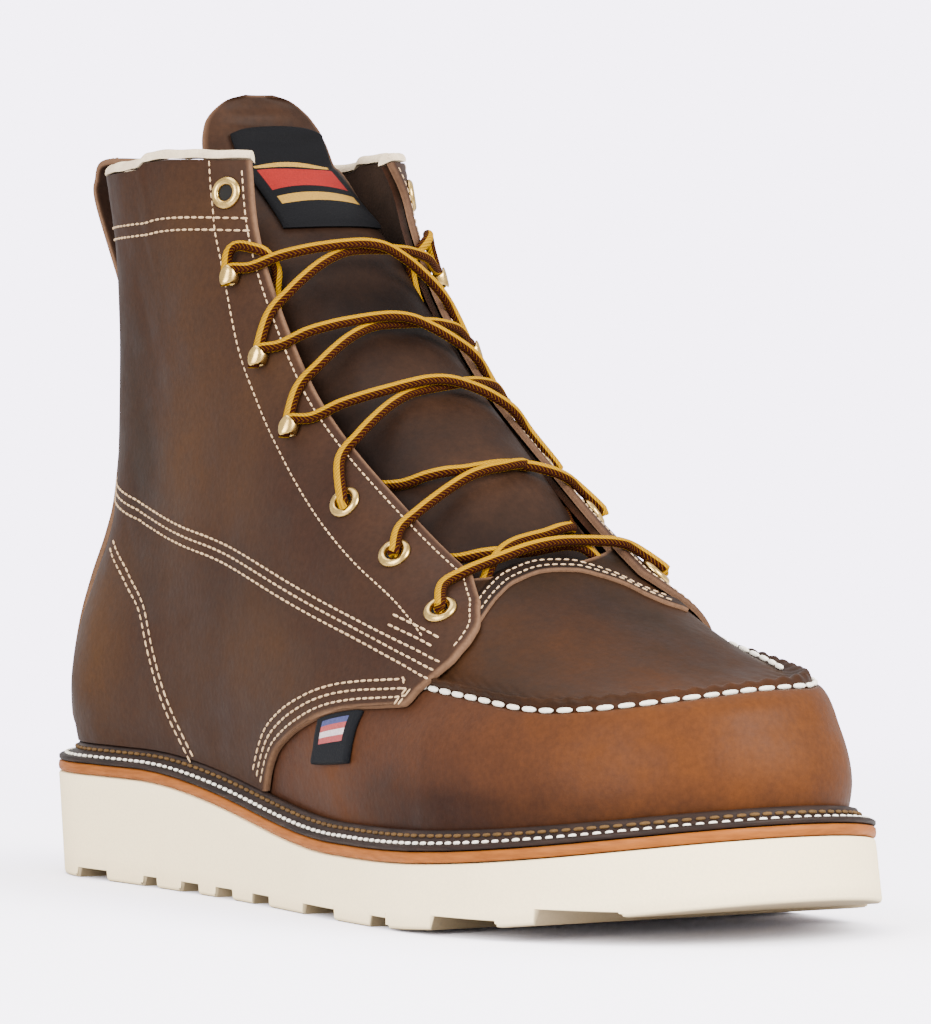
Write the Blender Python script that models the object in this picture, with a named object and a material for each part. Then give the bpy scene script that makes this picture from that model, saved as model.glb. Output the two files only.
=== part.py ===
"""Moc toe work boot, right foot, standing on its wedge sole.

Tables and named sizes are in millimetres in the boot's own frame: x runs from the back of
the heel to the toe, y to the wearer's left (the medial side) and z up from the floor.
Meshes are in metres, and every piece hangs under one empty that centres the sole on the origin.
"""

import math
from collections import namedtuple

import bmesh
import bpy
import numpy as np
from mathutils import Matrix, Vector

MM = 0.001
FIT = 0.3
FACET = 0.35
TINY = 1e-6
LATERAL = -1
MEDIAL = 1
SIDE_NAMES = {LATERAL: "lateral", MEDIAL: "medial"}

# Sole heights along the foot
SOLE_LENGTH = 305.0
HEEL_HEIGHT = 30.4
FORE_HEIGHT = 18.6
DROP_START = 68.0
DROP_END = 186.0
TOE_SPRING = 9.9
SPRING_START = 200.0
MIDSOLE_THICKNESS = 3.6
INSOLE_THICKNESS = 4.0
TREAD_DEPTH = 3.2
FLANK_BEVEL = 1.0

# Welt: a flat strip with a bead that climbs the upper
WELT_EDGE = 1.7
WELT_SLOPE = 3.6
BEAD_HEIGHT = 5.1
BEAD_WIDTH = 1.6
BEAD_FOOT = 0.9
BEAD_SEAT = 2.6
FEATHER_RISE = 0.5

# Curve of the last, seen from above
AXIS_BOW = 4.2
BOW_CENTRE = 170.0
BOW_REACH = 115.0
TOE_SWING = 4.5
SWING_START = 225.0
WAIST_SHARE = 0.62
TILT_START = 100.0
TILT_END = 200.0

# Leather thicknesses
UPPER_WALL = 1.6
PANEL_WALL = 1.5
STAY_WALL = 1.5
TONGUE_WALL = 2.0
STRAP_WALL = 1.8
SEAM_RIDGE = 1.7
SEAM_SPREAD = 0.13
RIDGE_START = 226.0
RIDGE_FADE = 9.0

# Throat, collar and straps
THROAT_LEVEL = 5.0
SEAM_LEVEL = 3.0
COLLAR_LEVEL = 9.0
BINDING_HEIGHT = 2.9
BINDING_OVERHANG = 0.35
STAY_TOP_LEVEL = 7.9
LOOP_HALF_WIDTH = 14.0
LOOP_TOP = 191.8
LOOP_STAND_OFF = 12.6

# Lacing hardware
EYELET_RADIUS = 5.0
EYELET_HOLE = 2.6
EYELET_HEIGHT = 1.3
EYELET_TURNS = 10
HOOK_WIDTH = 5.0
HOOK_WALL = 0.8
LACE_RADIUS = 1.9

# A ring of the last: plan sizes, then heights above the midsole at four places along the foot
Ring = namedtuple("Ring", (
    "name back_x front_x heel_cap toe_cap heel_half waist_half ball_half "
    "back_rise waist_rise ball_rise front_rise hug tilt toe_power"))

TREAD = Ring("tread", 1.6, SOLE_LENGTH, 40.4, 79.0, 41.2, 41.8, 56.5, 0, 0, 0, 0, 1.0, 0.0, 2.12)
EDGE = Ring("edge", 0.0, 303.4, 42.0, 77.4, 42.6, 42.3, 55.2, 0, 0, 0, 0, 1.0, 0.0, 2.12)

RINGS = (
    Ring("feather", 6.8, 297.0, 38, 74, 35.2, 35.6, 48.4, 0.7, 0.7, 0.7, 0.7, 1.0, 0.0, 2.15),
    Ring("wall", 4.6, 298.0, 39, 74, 37.4, 37.6, 49.2, 19.0, 15.0, 13.0, 12.0, 1.0, 0.0, 2.2),
    Ring("shoulder", 6.6, 294.4, 38, 72, 36.0, 38.4, 47.8, 35.0, 29.0, 26.5, 23.5, 0.9, 0.2, 2.2),
    Ring("seam", 10.0, 287.0, 37, 66, 32.9, 37.8, 42.0, 48.0, 42.5, 39.4, 33.2, 0.5, 2.7, 2.3),
    Ring("plug", 15.0, 260.0, 37, 62, 31.0, 37.0, 37.5, 60.0, 55.0, 51.5, 39.6, 0.0, 3.2, 2.4),
    Ring("throat", 17.8, 207.0, 37, 52, 30.0, 34.5, 35.5, 71.0, 66.5, 69.6, 67.5, 0.0, 5.4, 2.6),
    Ring("instep", 19.4, 166.0, 38, 62, 30.0, 32.0, 33.0, 92.0, 90.5, 91.6, 98.6, 0.0, 7.6, 2.4),
    Ring("ankle", 20.0, 134.0, 40, 52, 30.3, 31.5, 32.0, 116.0, 116.5, 117.5, 120.7, 0.0, 3.0, 2.4),
    Ring("shaft", 18.4, 115.5, 42, 47, 31.2, 31.6, 31.6, 136.0, 138.0, 138.5, 142.0, 0.0, 0.0, 2.3),
    Ring("collar", 16.0, 106.0, 42, 44, 33.0, 33.3, 33.0, 155.5, 157.0, 158.5, 160.5, 0.0, 0.0, 2.2),
)

# Front edge of the quarter panel below the throat: the wing that sweeps up to its nose
EdgeStop = namedtuple("EdgeStop", "level x")
QUARTER_EDGE = (
    EdgeStop(0.40, 137.0), EdgeStop(0.80, 140.8), EdgeStop(1.20, 146.0), EdgeStop(1.60, 155.0),
    EdgeStop(1.90, 164.0), EdgeStop(2.15, 172.5), EdgeStop(2.32, 180.0), EdgeStop(2.46, 189.0),
    EdgeStop(2.58, 200.0), EdgeStop(2.70, 210.0), EdgeStop(3.00, 212.8), EdgeStop(3.50, 218.0),
    EdgeStop(4.00, 220.8), EdgeStop(4.25, 220.6), EdgeStop(4.50, 218.6), EdgeStop(4.76, 211.8),
)

# Edge of each eyestay up the throat: its distance from the last's axis
GapStop = namedtuple("GapStop", "level lateral medial")
THROAT_GAPS = (
    GapStop(5.0, 19.4, 24.0), GapStop(5.5, 21.2, 24.0), GapStop(6.0, 23.0, 23.6),
    GapStop(6.5, 23.8, 23.6), GapStop(7.5, 23.2, 23.4), GapStop(8.4, 22.2, 22.2), GapStop(9.0, 21.4, 16.4),
)

# Half width of the strip up the back, along the surface
StayStop = namedtuple("StayStop", "level half_width")
STAY_EDGE = (
    StayStop(0.0, 29.0), StayStop(2.0, 26.5), StayStop(4.0, 22.0), StayStop(6.0, 17.5), StayStop(8.0, 14.0),
)

# Pull loop: its line from the backstay up, over and into the shaft, and how much it curls across
LoopStop = namedtuple("LoopStop", "place height ahead above curl")
LOOP_STOPS = (
    LoopStop("foot", "foot", 0.0, 0.0, 0.0155), LoopStop("foot", "foot", -1.6, 6.0, 0.0155),
    LoopStop("outside", "collar", -0.8, -6.0, 0.0110), LoopStop("outside", "collar", 0.0, 0.5, 0.0080),
    LoopStop("outside", "top", 2.6, -0.6, 0.0075), LoopStop("middle", "top", 1.0, 0.0, 0.0090),
    LoopStop("inside", "top", -0.4, -0.9, 0.0155), LoopStop("inside", "top", 0.5, -4.0, 0.0165),
    LoopStop("inside", "collar", 0.8, -6.0, 0.0165), LoopStop("inside", "collar", 2.4, -12.0, 0.0165),
)

# Tongue: how far it reaches each way, sinks under the eyestays and leans back into the shaft
TongueStop = namedtuple("TongueStop", "level half_width sink lean lift")
TONGUE_STOPS = (
    TongueStop(4.72, 20.0, 2.4, 0.0, 0.0), TongueStop(5.4, 25.0, 3.4, 0.0, 0.0),
    TongueStop(6.2, 27.5, 4.0, 0.0, 0.0), TongueStop(7.0, 27.5, 4.2, 1.4, 0.0),
    TongueStop(7.8, 26.5, 4.4, 6.0, 0.0), TongueStop(8.4, 24.5, 4.6, 12.0, 0.0),
    TongueStop(9.0, 22.0, 4.8, 21.5, 0.5), TongueStop(9.0, 20.0, 4.8, 28.5, 11.0),
    TongueStop(9.0, 14.0, 4.8, 32.5, 18.0), TongueStop(9.0, 6.5, 4.8, 34.0, 20.6),
)
LABEL_ROWS = (4.75, 5.0, 5.5, 6.0, 6.5, 6.85)
LABEL_HALF_WIDTH = 18.5
LABEL_SEAT = 0.9
LABEL_WALL = 0.7
LABEL_COLUMNS = 7
TONGUE_COLUMNS = 9

# Side tab: its rows down the vamp, by the level and the places of its two edges
TabRow = namedtuple("TabRow", "level rear front")
TAB_WALL = 1.2
TAB_COLUMNS = 4
TAB_ROWS = (TabRow(2.04, 172.0, 189.0), TabRow(1.76, 169.8, 188.0), TabRow(1.46, 167.5, 186.8))

# Tread: grooves across the sole, by where they start and how long they are
Groove = namedtuple("Groove", "start length")
GROOVES = (
    Groove(37.0, 16.4), Groove(73.0, 7.7), Groove(94.3, 10.1), Groove(114.1, 10.2), Groove(136.5, 11.1),
    Groove(169.6, 19.6), Groove(209.4, 8.9), Groove(237.4, 20.7), Groove(268.3, 17.9),
)

# Lace stations up each eyestay
Station = namedtuple("Station", "name level inset kind")
STATIONS = (
    Station("1", 4.66, 10.2, "eyelet"), Station("2", 5.18, 13.6, "eyelet"),
    Station("3", 5.55, 15.6, "eyelet"), Station("4", 6.08, 14.5, "hook"),
    Station("5", 6.67, 11.5, "hook"), Station("6", 7.47, 10.5, "hook"),
    Station("7", 8.56, 7.2, "eyelet"),
)
HookStop = namedtuple("HookStop", "behind rise")
HOOK_PATH = (
    HookStop(3.3, 0.5), HookStop(-1.5, 0.5), HookStop(-3.0, 1.6),
    HookStop(-2.4, 3.6), HookStop(0.0, 4.2), HookStop(3.6, 4.8),
)
CROSSINGS = (("2", "3"), ("3", "4"), ("4", "5"), ("5", "6"))

# Colours of the finished pieces
Paint = namedtuple("Paint", "red green blue roughness metallic")
PAINTS = {
    "crepe": Paint(0.80, 0.75, 0.62, 0.75, 0.0),
    "midsole": Paint(0.45, 0.17, 0.05, 0.55, 0.0),
    "welt": Paint(0.06, 0.035, 0.025, 0.6, 0.0),
    "insole": Paint(0.42, 0.33, 0.22, 0.8, 0.0),
    "leather": Paint(0.13, 0.055, 0.028, 0.5, 0.0),
    "binding": Paint(0.72, 0.68, 0.60, 0.7, 0.0),
    "label": Paint(0.012, 0.012, 0.014, 0.45, 0.0),
    "brass": Paint(0.70, 0.48, 0.18, 0.3, 1.0),
    "lace": Paint(0.62, 0.36, 0.03, 0.75, 0.0),
}


# Curves and interpolation

def smoothstep(t):
    """Ease from 0 to 1."""
    t = np.clip(t, 0.0, 1.0)
    return t * t * (3.0 - 2.0 * t)


def smooth_through(knots, values, at):
    """Monotone cubic through the values at the knots."""
    knots = np.asarray(knots, float)
    values = np.asarray(values, float)
    step = np.diff(knots)
    slope = np.diff(values) / step
    product = slope[:-1] * slope[1:]
    total = np.where(product > 0, slope[:-1] + slope[1:], 1.0)
    inner = np.where(product > 0, 2.0 * product / total, 0.0)
    tangent = np.concatenate(([slope[0]], inner, [slope[-1]]))
    at = np.clip(at, knots[0], knots[-1])
    i = np.clip(np.searchsorted(knots, at) - 1, 0, len(step) - 1)
    t = (at - knots[i]) / step[i]
    rise = values[i] * (2 * t**3 - 3 * t**2 + 1) + values[i + 1] * (3 * t**2 - 2 * t**3)
    return rise + step[i] * (tangent[i] * (t**3 - 2 * t**2 + t) + tangent[i + 1] * (t**3 - t**2))


def spring_at(x):
    """Rise of the sole towards the toe."""
    reach = (np.asarray(x, float) - SPRING_START) / (SOLE_LENGTH - SPRING_START)
    return TOE_SPRING * np.clip(reach, 0.0, None) ** 2


def sole_top(x):
    """Height of the midsole's top: heel platform, wedge slope, forefoot and toe spring."""
    drop = smoothstep((np.asarray(x, float) - DROP_START) / (DROP_END - DROP_START))
    return HEEL_HEIGHT - (HEEL_HEIGHT - FORE_HEIGHT) * drop + spring_at(x)


def last_axis(x):
    """Sideways curve of the last: bowed out at the waist, swung in at the toe."""
    x = np.asarray(x, float)
    bow = np.cos(np.clip((x - BOW_CENTRE) / BOW_REACH, -1.0, 1.0) * math.pi / 2) ** 2
    swing = np.clip((x - SWING_START) / (SOLE_LENGTH - SWING_START), 0.0, None) ** 3
    return TOE_SWING * swing - AXIS_BOW * bow


# The last: rings from the feather line to the collar

HEEL_POWER = 2.1
CAP_POINTS = 40
RUN_POINTS = 30
ARC_POINTS = 361
SEARCH_POINTS = 401
AROUND_STEP = 0.006
LEVEL_STEP = 0.04
LOW_LEVELS = np.linspace(0.0, 1.5, 61)


def half_outline(ring, grow=0.0):
    """Plan outline of one side of a ring, from its front to its back, as x and half width."""
    front_x, back_x = ring.front_x + grow, ring.back_x - grow
    ball_x, heel_x = ring.front_x - ring.toe_cap, ring.back_x + ring.heel_cap
    turn = np.linspace(0.0, math.pi / 2, CAP_POINTS)
    toe_x = ball_x + (front_x - ball_x) * np.cos(turn) ** (2 / ring.toe_power)
    toe_w = (ring.ball_half + grow) * np.sin(turn) ** (2 / ring.toe_power)
    share = np.linspace(0.0, 1.0, RUN_POINTS)[1:-1]
    run_x = ball_x + (heel_x - ball_x) * share
    halves = np.array((ring.ball_half, ring.waist_half, ring.heel_half)) + grow
    run_w = smooth_through((0.0, WAIST_SHARE, 1.0), halves, share)
    heel_end = heel_x - (heel_x - back_x) * np.sin(turn) ** (2 / HEEL_POWER)
    heel_w = (ring.heel_half + grow) * np.cos(turn) ** (2 / HEEL_POWER)
    return np.concatenate((toe_x, run_x, heel_end)), np.concatenate((toe_w, run_w, heel_w))


def ring_height(ring, x, y_share):
    """Height of a ring at x, with the medial side raised by its tilt."""
    ball_x, heel_x = ring.front_x - ring.toe_cap, ring.back_x + ring.heel_cap
    waist_x = ball_x + (heel_x - ball_x) * WAIST_SHARE
    places = (ring.back_x, waist_x, ball_x, ring.front_x)
    rises = (ring.back_rise, ring.waist_rise, ring.ball_rise, ring.front_rise)
    chord = smooth_through(places, sole_top(np.array(places)), x)
    base = ring.hug * sole_top(x) + (1.0 - ring.hug) * chord
    forefoot = smoothstep((x - TILT_START) / (TILT_END - TILT_START))
    return base + smooth_through(places, rises, x) + ring.tilt * y_share * forefoot


def even_arc(points):
    """The same line with its points evenly spaced along it."""
    length = np.concatenate(([0.0], np.cumsum(np.linalg.norm(np.diff(points, axis=0), axis=1))))
    even = np.linspace(0.0, length[-1], ARC_POINTS)
    return np.column_stack([np.interp(even, length, points[:, i]) for i in range(3)])


def ring_side(ring, side):
    """One side of a ring of the last, front to back."""
    x, half = half_outline(ring)
    z = ring_height(ring, x, side * half / ring.ball_half)
    return even_arc(np.column_stack((x, last_axis(x) + side * half, z)))


LAST = {side: np.array([ring_side(ring, side) for ring in RINGS]) for side in (LATERAL, MEDIAL)}


def last_point(level, around):
    """Point of the last's surface: level counts rings, around runs -1 back, 0 front, 1 back."""
    around = (around + 1.0) % 2.0 - 1.0 if abs(around) > 1.0 else around
    rings = LAST[LATERAL if around < 0 else MEDIAL]
    place = abs(around) * (ARC_POINTS - 1)
    i = min(int(place), ARC_POINTS - 2)
    f = place - i
    top = len(RINGS) - 1
    k = min(max(int(level), 0), top - 1)
    t = level - k
    near = [rings[j][i] * (1.0 - f) + rings[j][i + 1] * f for j in (max(k - 1, 0), k, k + 1, min(k + 2, top))]
    if k == 0:
        near[0] = 2 * near[1] - near[2]
    if k == top - 1:
        near[3] = 2 * near[2] - near[1]
    lead, lag = (near[2] - near[0]) / 2, (near[3] - near[1]) / 2
    blend = near[1] * (2 * t**3 - 3 * t**2 + 1) + near[2] * (3 * t**2 - 2 * t**3)
    return blend + lead * (t**3 - 2 * t**2 + t) + lag * (t**3 - t**2)


def last_normal(level, around):
    """Outward direction of the last's surface."""
    across = last_point(level, around + AROUND_STEP) - last_point(level, around - AROUND_STEP)
    low, high = max(level - LEVEL_STEP, 0.0), min(level + LEVEL_STEP, COLLAR_LEVEL)
    out = np.cross(across, last_point(high, around) - last_point(low, around))
    return out / np.linalg.norm(out)


def skin(level, around, offset=0.0):
    """Point a given distance outside the last's surface."""
    return last_point(level, around) + last_normal(level, around) * offset


def around_at(level, side, test):
    """Where along a ring, from the front, a rising test first holds."""
    for share in np.linspace(0.0, 1.0, SEARCH_POINTS):
        if test(last_point(level, side * max(share, TINY))):
            return share
    return 1.0


def around_at_x(level, side, x):
    """Share of the ring from the front to where it passes x."""
    return around_at(level, side, lambda point: point[0] <= x)


def around_at_gap(level, side, gap):
    """Share of the ring from the front to where it is the gap away from the last's axis."""
    return around_at(level, side, lambda point: abs(point[1] - last_axis(point[0])) >= gap)


def throat_gap(level, side):
    """Distance from the last's axis to one eyestay's edge at a level."""
    gaps = [stop.lateral if side == LATERAL else stop.medial for stop in THROAT_GAPS]
    return float(smooth_through([stop.level for stop in THROAT_GAPS], gaps, level))


def ring_length(level, side):
    """Length of one side of the last at a level."""
    points = np.array([last_point(level, side * share) for share in np.linspace(TINY, 1.0, 60)])
    return np.linalg.norm(np.diff(points, axis=0), axis=1).sum()


def level_at_rise(side, share, rise):
    """Level at which the last stands a given height above the midsole."""
    points = [last_point(level, side * share) for level in LOW_LEVELS]
    heights = [point[2] - float(sole_top(point[0])) for point in points]
    return float(np.interp(rise, heights, LOW_LEVELS))


def quarter_front(level, side):
    """Share of the ring from the front to the quarter panel's front edge."""
    last_stop = QUARTER_EDGE[-1].level
    if level >= THROAT_LEVEL:
        return around_at_gap(level, side, throat_gap(level, side))
    levels = [stop.level for stop in QUARTER_EDGE]
    if level <= last_stop:
        x = float(smooth_through(levels, [stop.x for stop in QUARTER_EDGE], level))
        return around_at_x(level, side, x)
    low = quarter_front(last_stop, side)
    high = around_at_gap(THROAT_LEVEL, side, throat_gap(THROAT_LEVEL, side))
    t = (level - last_stop) / (THROAT_LEVEL - last_stop)
    return low + (high - low) * t


# Meshes

def new_object(name, mesh, paint):
    """Object with its own material, hung under the boot's empty."""
    tint = PAINTS[paint]
    material = bpy.data.materials.new(name + "_finish")
    material.use_nodes = True
    shader = material.node_tree.nodes["Principled BSDF"]
    shader.inputs["Base Color"].default_value = (tint.red, tint.green, tint.blue, 1.0)
    shader.inputs["Roughness"].default_value = tint.roughness
    shader.inputs["Metallic"].default_value = tint.metallic
    mesh.materials.append(material)
    piece = bpy.data.objects.new(name, mesh)
    bpy.context.collection.objects.link(piece)
    piece.parent = BOOT
    return piece


def mesh_object(name, points, faces, paint):
    """Closed mesh from points in millimetres and faces, facing outwards."""
    shape = bmesh.new()
    verts = [shape.verts.new(Vector(point) * MM) for point in points]
    for face in faces:
        shape.faces.new([verts[i] for i in face])
    bmesh.ops.triangulate(shape, faces=shape.faces[:])
    bmesh.ops.recalc_face_normals(shape, faces=shape.faces[:])
    mesh = bpy.data.meshes.new(name)
    shape.to_mesh(mesh)
    shape.free()
    mesh.shade_smooth()
    mesh.set_sharp_from_angle(angle=math.radians(40))
    return new_object(name, mesh, paint)


def patch_shell(name, outer, inner, paint):
    """Solid between two grids of points that have the same rows and columns."""
    rows, columns = len(outer), len(outer[0])
    points = [point for grid in (outer, inner) for row in grid for point in row]
    back = rows * columns

    def index(row, column):
        return row * columns + column

    faces = []
    for row in range(rows - 1):
        for column in range(columns - 1):
            quad = (index(row, column), index(row, column + 1),
                    index(row + 1, column + 1), index(row + 1, column))
            faces.append(quad)
            faces.append(tuple(back + i for i in reversed(quad)))
    rim = [index(0, column) for column in range(columns)]
    rim += [index(row, columns - 1) for row in range(1, rows)]
    rim += [index(rows - 1, column) for column in range(columns - 2, -1, -1)]
    rim += [index(row, 0) for row in range(rows - 2, 0, -1)]
    for here, there in zip(rim, rim[1:] + rim[:1]):
        faces.append((here, there, back + there, back + here))
    return mesh_object(name, points, faces, paint)


def loop_faces(count, low, high):
    """Quads between two closed loops of points."""
    return [(low + i, low + (i + 1) % count, high + (i + 1) % count, high + i) for i in range(count)]


def plate(name, loops, paint):
    """Solid through a stack of closed loops, closed at both ends by strips across the foot."""
    count = len(loops[0])
    points = [point for loop in loops for point in loop]
    faces = []
    for layer in range(len(loops) - 1):
        faces += loop_faces(count, layer * count, (layer + 1) * count)
    for layer in (0, len(loops) - 1):
        first = layer * count
        for i in range(count // 2):
            far, next_far = (count - i) % count, count - i - 1
            strip = [first + i, first + i + 1, first + next_far, first + far]
            faces.append(tuple(dict.fromkeys(strip)))
    return mesh_object(name, points, faces, paint)


def band(name, loops, paint):
    """Closed band whose section is the chain of loops."""
    count = len(loops[0])
    points = [point for loop in loops for point in loop]
    faces = []
    for layer in range(len(loops)):
        faces += loop_faces(count, layer * count, ((layer + 1) % len(loops)) * count)
    return mesh_object(name, points, faces, paint)


def add_boolean(piece, operation, other):
    """Cut or join another object into a piece, and keep the other one as a guide only."""
    modifier = piece.modifiers.new(operation.lower(), "BOOLEAN")
    modifier.operation = operation
    modifier.solver = "EXACT"
    modifier.object = other
    other.hide_render = True
    other.display_type = "WIRE"


# Sole

LOOP_SHARES = 30
CUTTER_MARGIN = 20.0


def sole_loop(share, grow, height):
    """Closed loop round the sole, from its tread (share 0) to its top edge (share 1)."""
    ring = Ring("sole", *(low + (high - low) * share for low, high in zip(TREAD[1:], EDGE[1:])))
    x, half = half_outline(ring, grow)
    sides = {}
    for side in (LATERAL, MEDIAL):
        line = even_arc(np.column_stack((x, last_axis(x) + side * half, height(x))))
        sides[side] = line[np.linspace(0, ARC_POINTS - 1, LOOP_SHARES + 1).round().astype(int)]
    return list(sides[LATERAL]) + list(sides[MEDIAL][-2:0:-1])


def outsole_top(x):
    """Top of the wedge under the midsole."""
    return sole_top(x) - MIDSOLE_THICKNESS - FIT


def build_outsole():
    """Wedge outsole: flared at the foot of its wall, grooved across its tread."""
    wedge = plate("outsole", (
        sole_loop(0.0, -FLANK_BEVEL, spring_at),
        sole_loop(0.0, 0.0, lambda x: spring_at(x) + FLANK_BEVEL),
        sole_loop(0.5, 0.0, lambda x: (spring_at(x) + outsole_top(x)) / 2),
        sole_loop(1.0, 0.0, outsole_top),
    ), "crepe")
    shape = bmesh.new()
    for groove in GROOVES:
        middle = Vector((groove.start + groove.length / 2, 0.0, (TREAD_DEPTH - CUTTER_MARGIN) / 2))
        size = Vector((groove.length, 2.0 * (TREAD.ball_half + CUTTER_MARGIN), TREAD_DEPTH + CUTTER_MARGIN))
        spot = middle + Vector((0.0, 0.0, float(spring_at(middle.x))))
        box = Matrix.Translation(spot * MM) @ Matrix.Diagonal((size * MM).to_4d())
        bmesh.ops.create_cube(shape, size=1.0, matrix=box)
    mesh = bpy.data.meshes.new("tread_cutter")
    shape.to_mesh(mesh)
    shape.free()
    cutter = new_object("tread_cutter", mesh, "crepe")
    add_boolean(wedge, "DIFFERENCE", cutter)


def build_midsole():
    """Flat midsole that shows as a thin line all round."""
    plate("midsole", (
        sole_loop(1.0, 0.0, lambda x: sole_top(x) - MIDSOLE_THICKNESS),
        sole_loop(1.0, 0.0, sole_top),
    ), "midsole")


def last_loop(rise, offset):
    """Closed loop round the last at a height above the midsole."""
    shares = np.linspace(0.0, 1.0, LOOP_SHARES + 1)
    loop = []
    for side, order in ((LATERAL, shares), (MEDIAL, shares[-2:0:-1])):
        for share in order:
            place = side * min(max(share, TINY), 1.0 - TINY)
            loop.append(skin(level_at_rise(side, share, rise), place, offset))
    return loop


def build_welt():
    """Welt on the midsole's edge, with a bead that climbs the upper."""
    inside = FIT + FACET
    band("welt", (
        sole_loop(1.0, 0.0, lambda x: sole_top(x) + FIT),
        sole_loop(1.0, 0.0, lambda x: sole_top(x) + WELT_EDGE),
        last_loop(WELT_SLOPE, inside + BEAD_WIDTH + BEAD_FOOT),
        last_loop(BEAD_HEIGHT, inside + BEAD_WIDTH),
        last_loop(BEAD_HEIGHT, inside),
        last_loop(BEAD_SEAT, inside),
        [point * (1, 1, 0) + (0, 0, float(sole_top(point[0])) + FIT)
         for point in last_loop(FEATHER_RISE, inside)],
    ), "welt")


def build_insole():
    """Insole that closes the upper underneath."""
    inset = -(UPPER_WALL + FIT + 4 * FACET)
    plan = last_loop(FEATHER_RISE, inset)

    def at_height(rise):
        return [np.array((p[0], p[1], float(sole_top(p[0])) + rise)) for p in plan]

    plate("insole", (at_height(FIT), at_height(FIT + INSOLE_THICKNESS)), "insole")


# Upper

FRONT_COLUMNS = 4
EDGE_COLUMNS = 4
RUN_COLUMNS = 7
HEEL_COLUMNS = 6
SIDE_COLUMNS = EDGE_COLUMNS + RUN_COLUMNS + HEEL_COLUMNS
EDGE_ZONE = 32.0
HEEL_ZONE = 54.0
EDGE_LIMIT = 0.30
HEEL_LIMIT = 0.45
UPPER_SETBACK = 1.2
RIDGE_CORE = 0.9
RIDGE_INSIDE = 0.5
UPPER_LEVELS = (0.0, 0.45, 1.0, 1.5, 2.0, 2.5, SEAM_LEVEL - SEAM_SPREAD, SEAM_LEVEL, SEAM_LEVEL + SEAM_SPREAD,
                3.5, 4.0, 4.25, 4.5, 4.76, THROAT_LEVEL, 5.5, 6.0, 6.5, 7.0, 7.5, 8.0, 8.5, COLLAR_LEVEL)


def side_shares(level, side, front, back, run_columns):
    """Shares along one side of a ring, closer together behind a front edge and round the heel."""
    length = ring_length(level, side)
    span = (back - front) * length
    edge_end = front + min(EDGE_ZONE, span * EDGE_LIMIT) / length
    heel_start = back - min(HEEL_ZONE, span * HEEL_LIMIT) / length
    edge = np.linspace(front, edge_end, EDGE_COLUMNS + 1)
    run = np.linspace(edge_end, heel_start, run_columns + 1)[1:]
    return np.concatenate((edge, run, np.linspace(heel_start, back, HEEL_COLUMNS + 1)[1:]))


def column_shares(level, side):
    """Shares along a ring for the upper's columns: the throat's half gap first, then the side."""
    edge = around_at_gap(max(level, THROAT_LEVEL), side, throat_gap(level, side) + UPPER_SETBACK)
    front = np.linspace(0.0, edge, FRONT_COLUMNS + 1)
    return np.concatenate((front, side_shares(level, side, edge, 1.0, RUN_COLUMNS)[1:]))


def upper_offset(level, point):
    """Raised seam round the toe, fading out under the quarter panels."""
    ridge = max(0.0, 1.0 - abs(level - SEAM_LEVEL) / (SEAM_SPREAD * RIDGE_CORE))
    return SEAM_RIDGE * ridge * float(smoothstep((point[0] - RIDGE_START) / RIDGE_FADE))


def upper_ring(level):
    """Outer and inner points round one level of the upper, back to lateral to front to medial."""
    lateral, medial = (column_shares(level, side) for side in (LATERAL, MEDIAL))
    places = [-share for share in lateral[:0:-1]] + [0.0] + list(medial[1:-1])
    outer, inner = [], []
    for place in places:
        raised = upper_offset(level, last_point(level, place))
        outer.append(skin(level, place, raised))
        inner.append(skin(level, place, raised * RIDGE_INSIDE - UPPER_WALL))
    return outer, inner


def build_upper():
    """Hollow upper: open underneath, down the throat and at the collar."""
    half = FRONT_COLUMNS + SIDE_COLUMNS
    count = 2 * half
    throat_row = UPPER_LEVELS.index(THROAT_LEVEL)
    left_edge, right_edge = half - FRONT_COLUMNS, half + FRONT_COLUMNS
    points = []
    for level in UPPER_LEVELS:
        outer, inner = upper_ring(level)
        points += outer + inner

    def spot(row, column, layer):
        return (2 * row + layer) * count + column % count

    def open_cell(row, column):
        return row >= throat_row and left_edge <= column < right_edge

    faces = []
    last_row = len(UPPER_LEVELS) - 1
    for row in range(last_row):
        for column in range(count):
            if open_cell(row, column):
                continue
            for layer in (0, 1):
                quad = [spot(row, column, layer), spot(row, column + 1, layer),
                        spot(row + 1, column + 1, layer), spot(row + 1, column, layer)]
                faces.append(quad if layer == 0 else quad[::-1])
    for column in range(count):
        throat = left_edge <= column < right_edge
        for row in (0, throat_row if throat else last_row):
            faces.append((spot(row, column, 0), spot(row, column, 1),
                          spot(row, column + 1, 1), spot(row, column + 1, 0)))
    for row in range(throat_row, last_row):
        for column in (left_edge, right_edge):
            faces.append((spot(row, column, 0), spot(row + 1, column, 0),
                          spot(row + 1, column, 1), spot(row, column, 1)))
    used = sorted({i for face in faces for i in face})
    renumber = {old: new for new, old in enumerate(used)}
    faces = [tuple(renumber[i] for i in face) for face in faces]
    mesh_object("upper", [points[i] for i in used], faces, "leather")


# Overlays cut from the last's own surface

QUARTER_RUN_COLUMNS = 5
PANEL_INSIDE = FIT + FACET
PANEL_OUTSIDE = PANEL_INSIDE + PANEL_WALL
QUARTER_LEVELS = tuple(stop.level for stop in QUARTER_EDGE) + (
    5.0, 5.5, 6.0, 6.5, 7.0, 7.5, 8.0, 8.5, COLLAR_LEVEL)
PANEL_SEAT = BEAD_HEIGHT + FIT + FACET / 2
BACK_SEAM = 0.25
STAY_SEAT = PANEL_OUTSIDE + FIT + FACET
STAY_LEVELS = (0.0, 1.0, 1.8, 2.6, 3.4, 4.2, 5.0, 6.0, 7.0, STAY_TOP_LEVEL)
STAY_COLUMNS = 9
LOOP_COLUMNS = 5
BINDING_COLUMNS = 17
BINDING_SHOULDER = 0.6
BINDING_CROWN = 0.8


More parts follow.
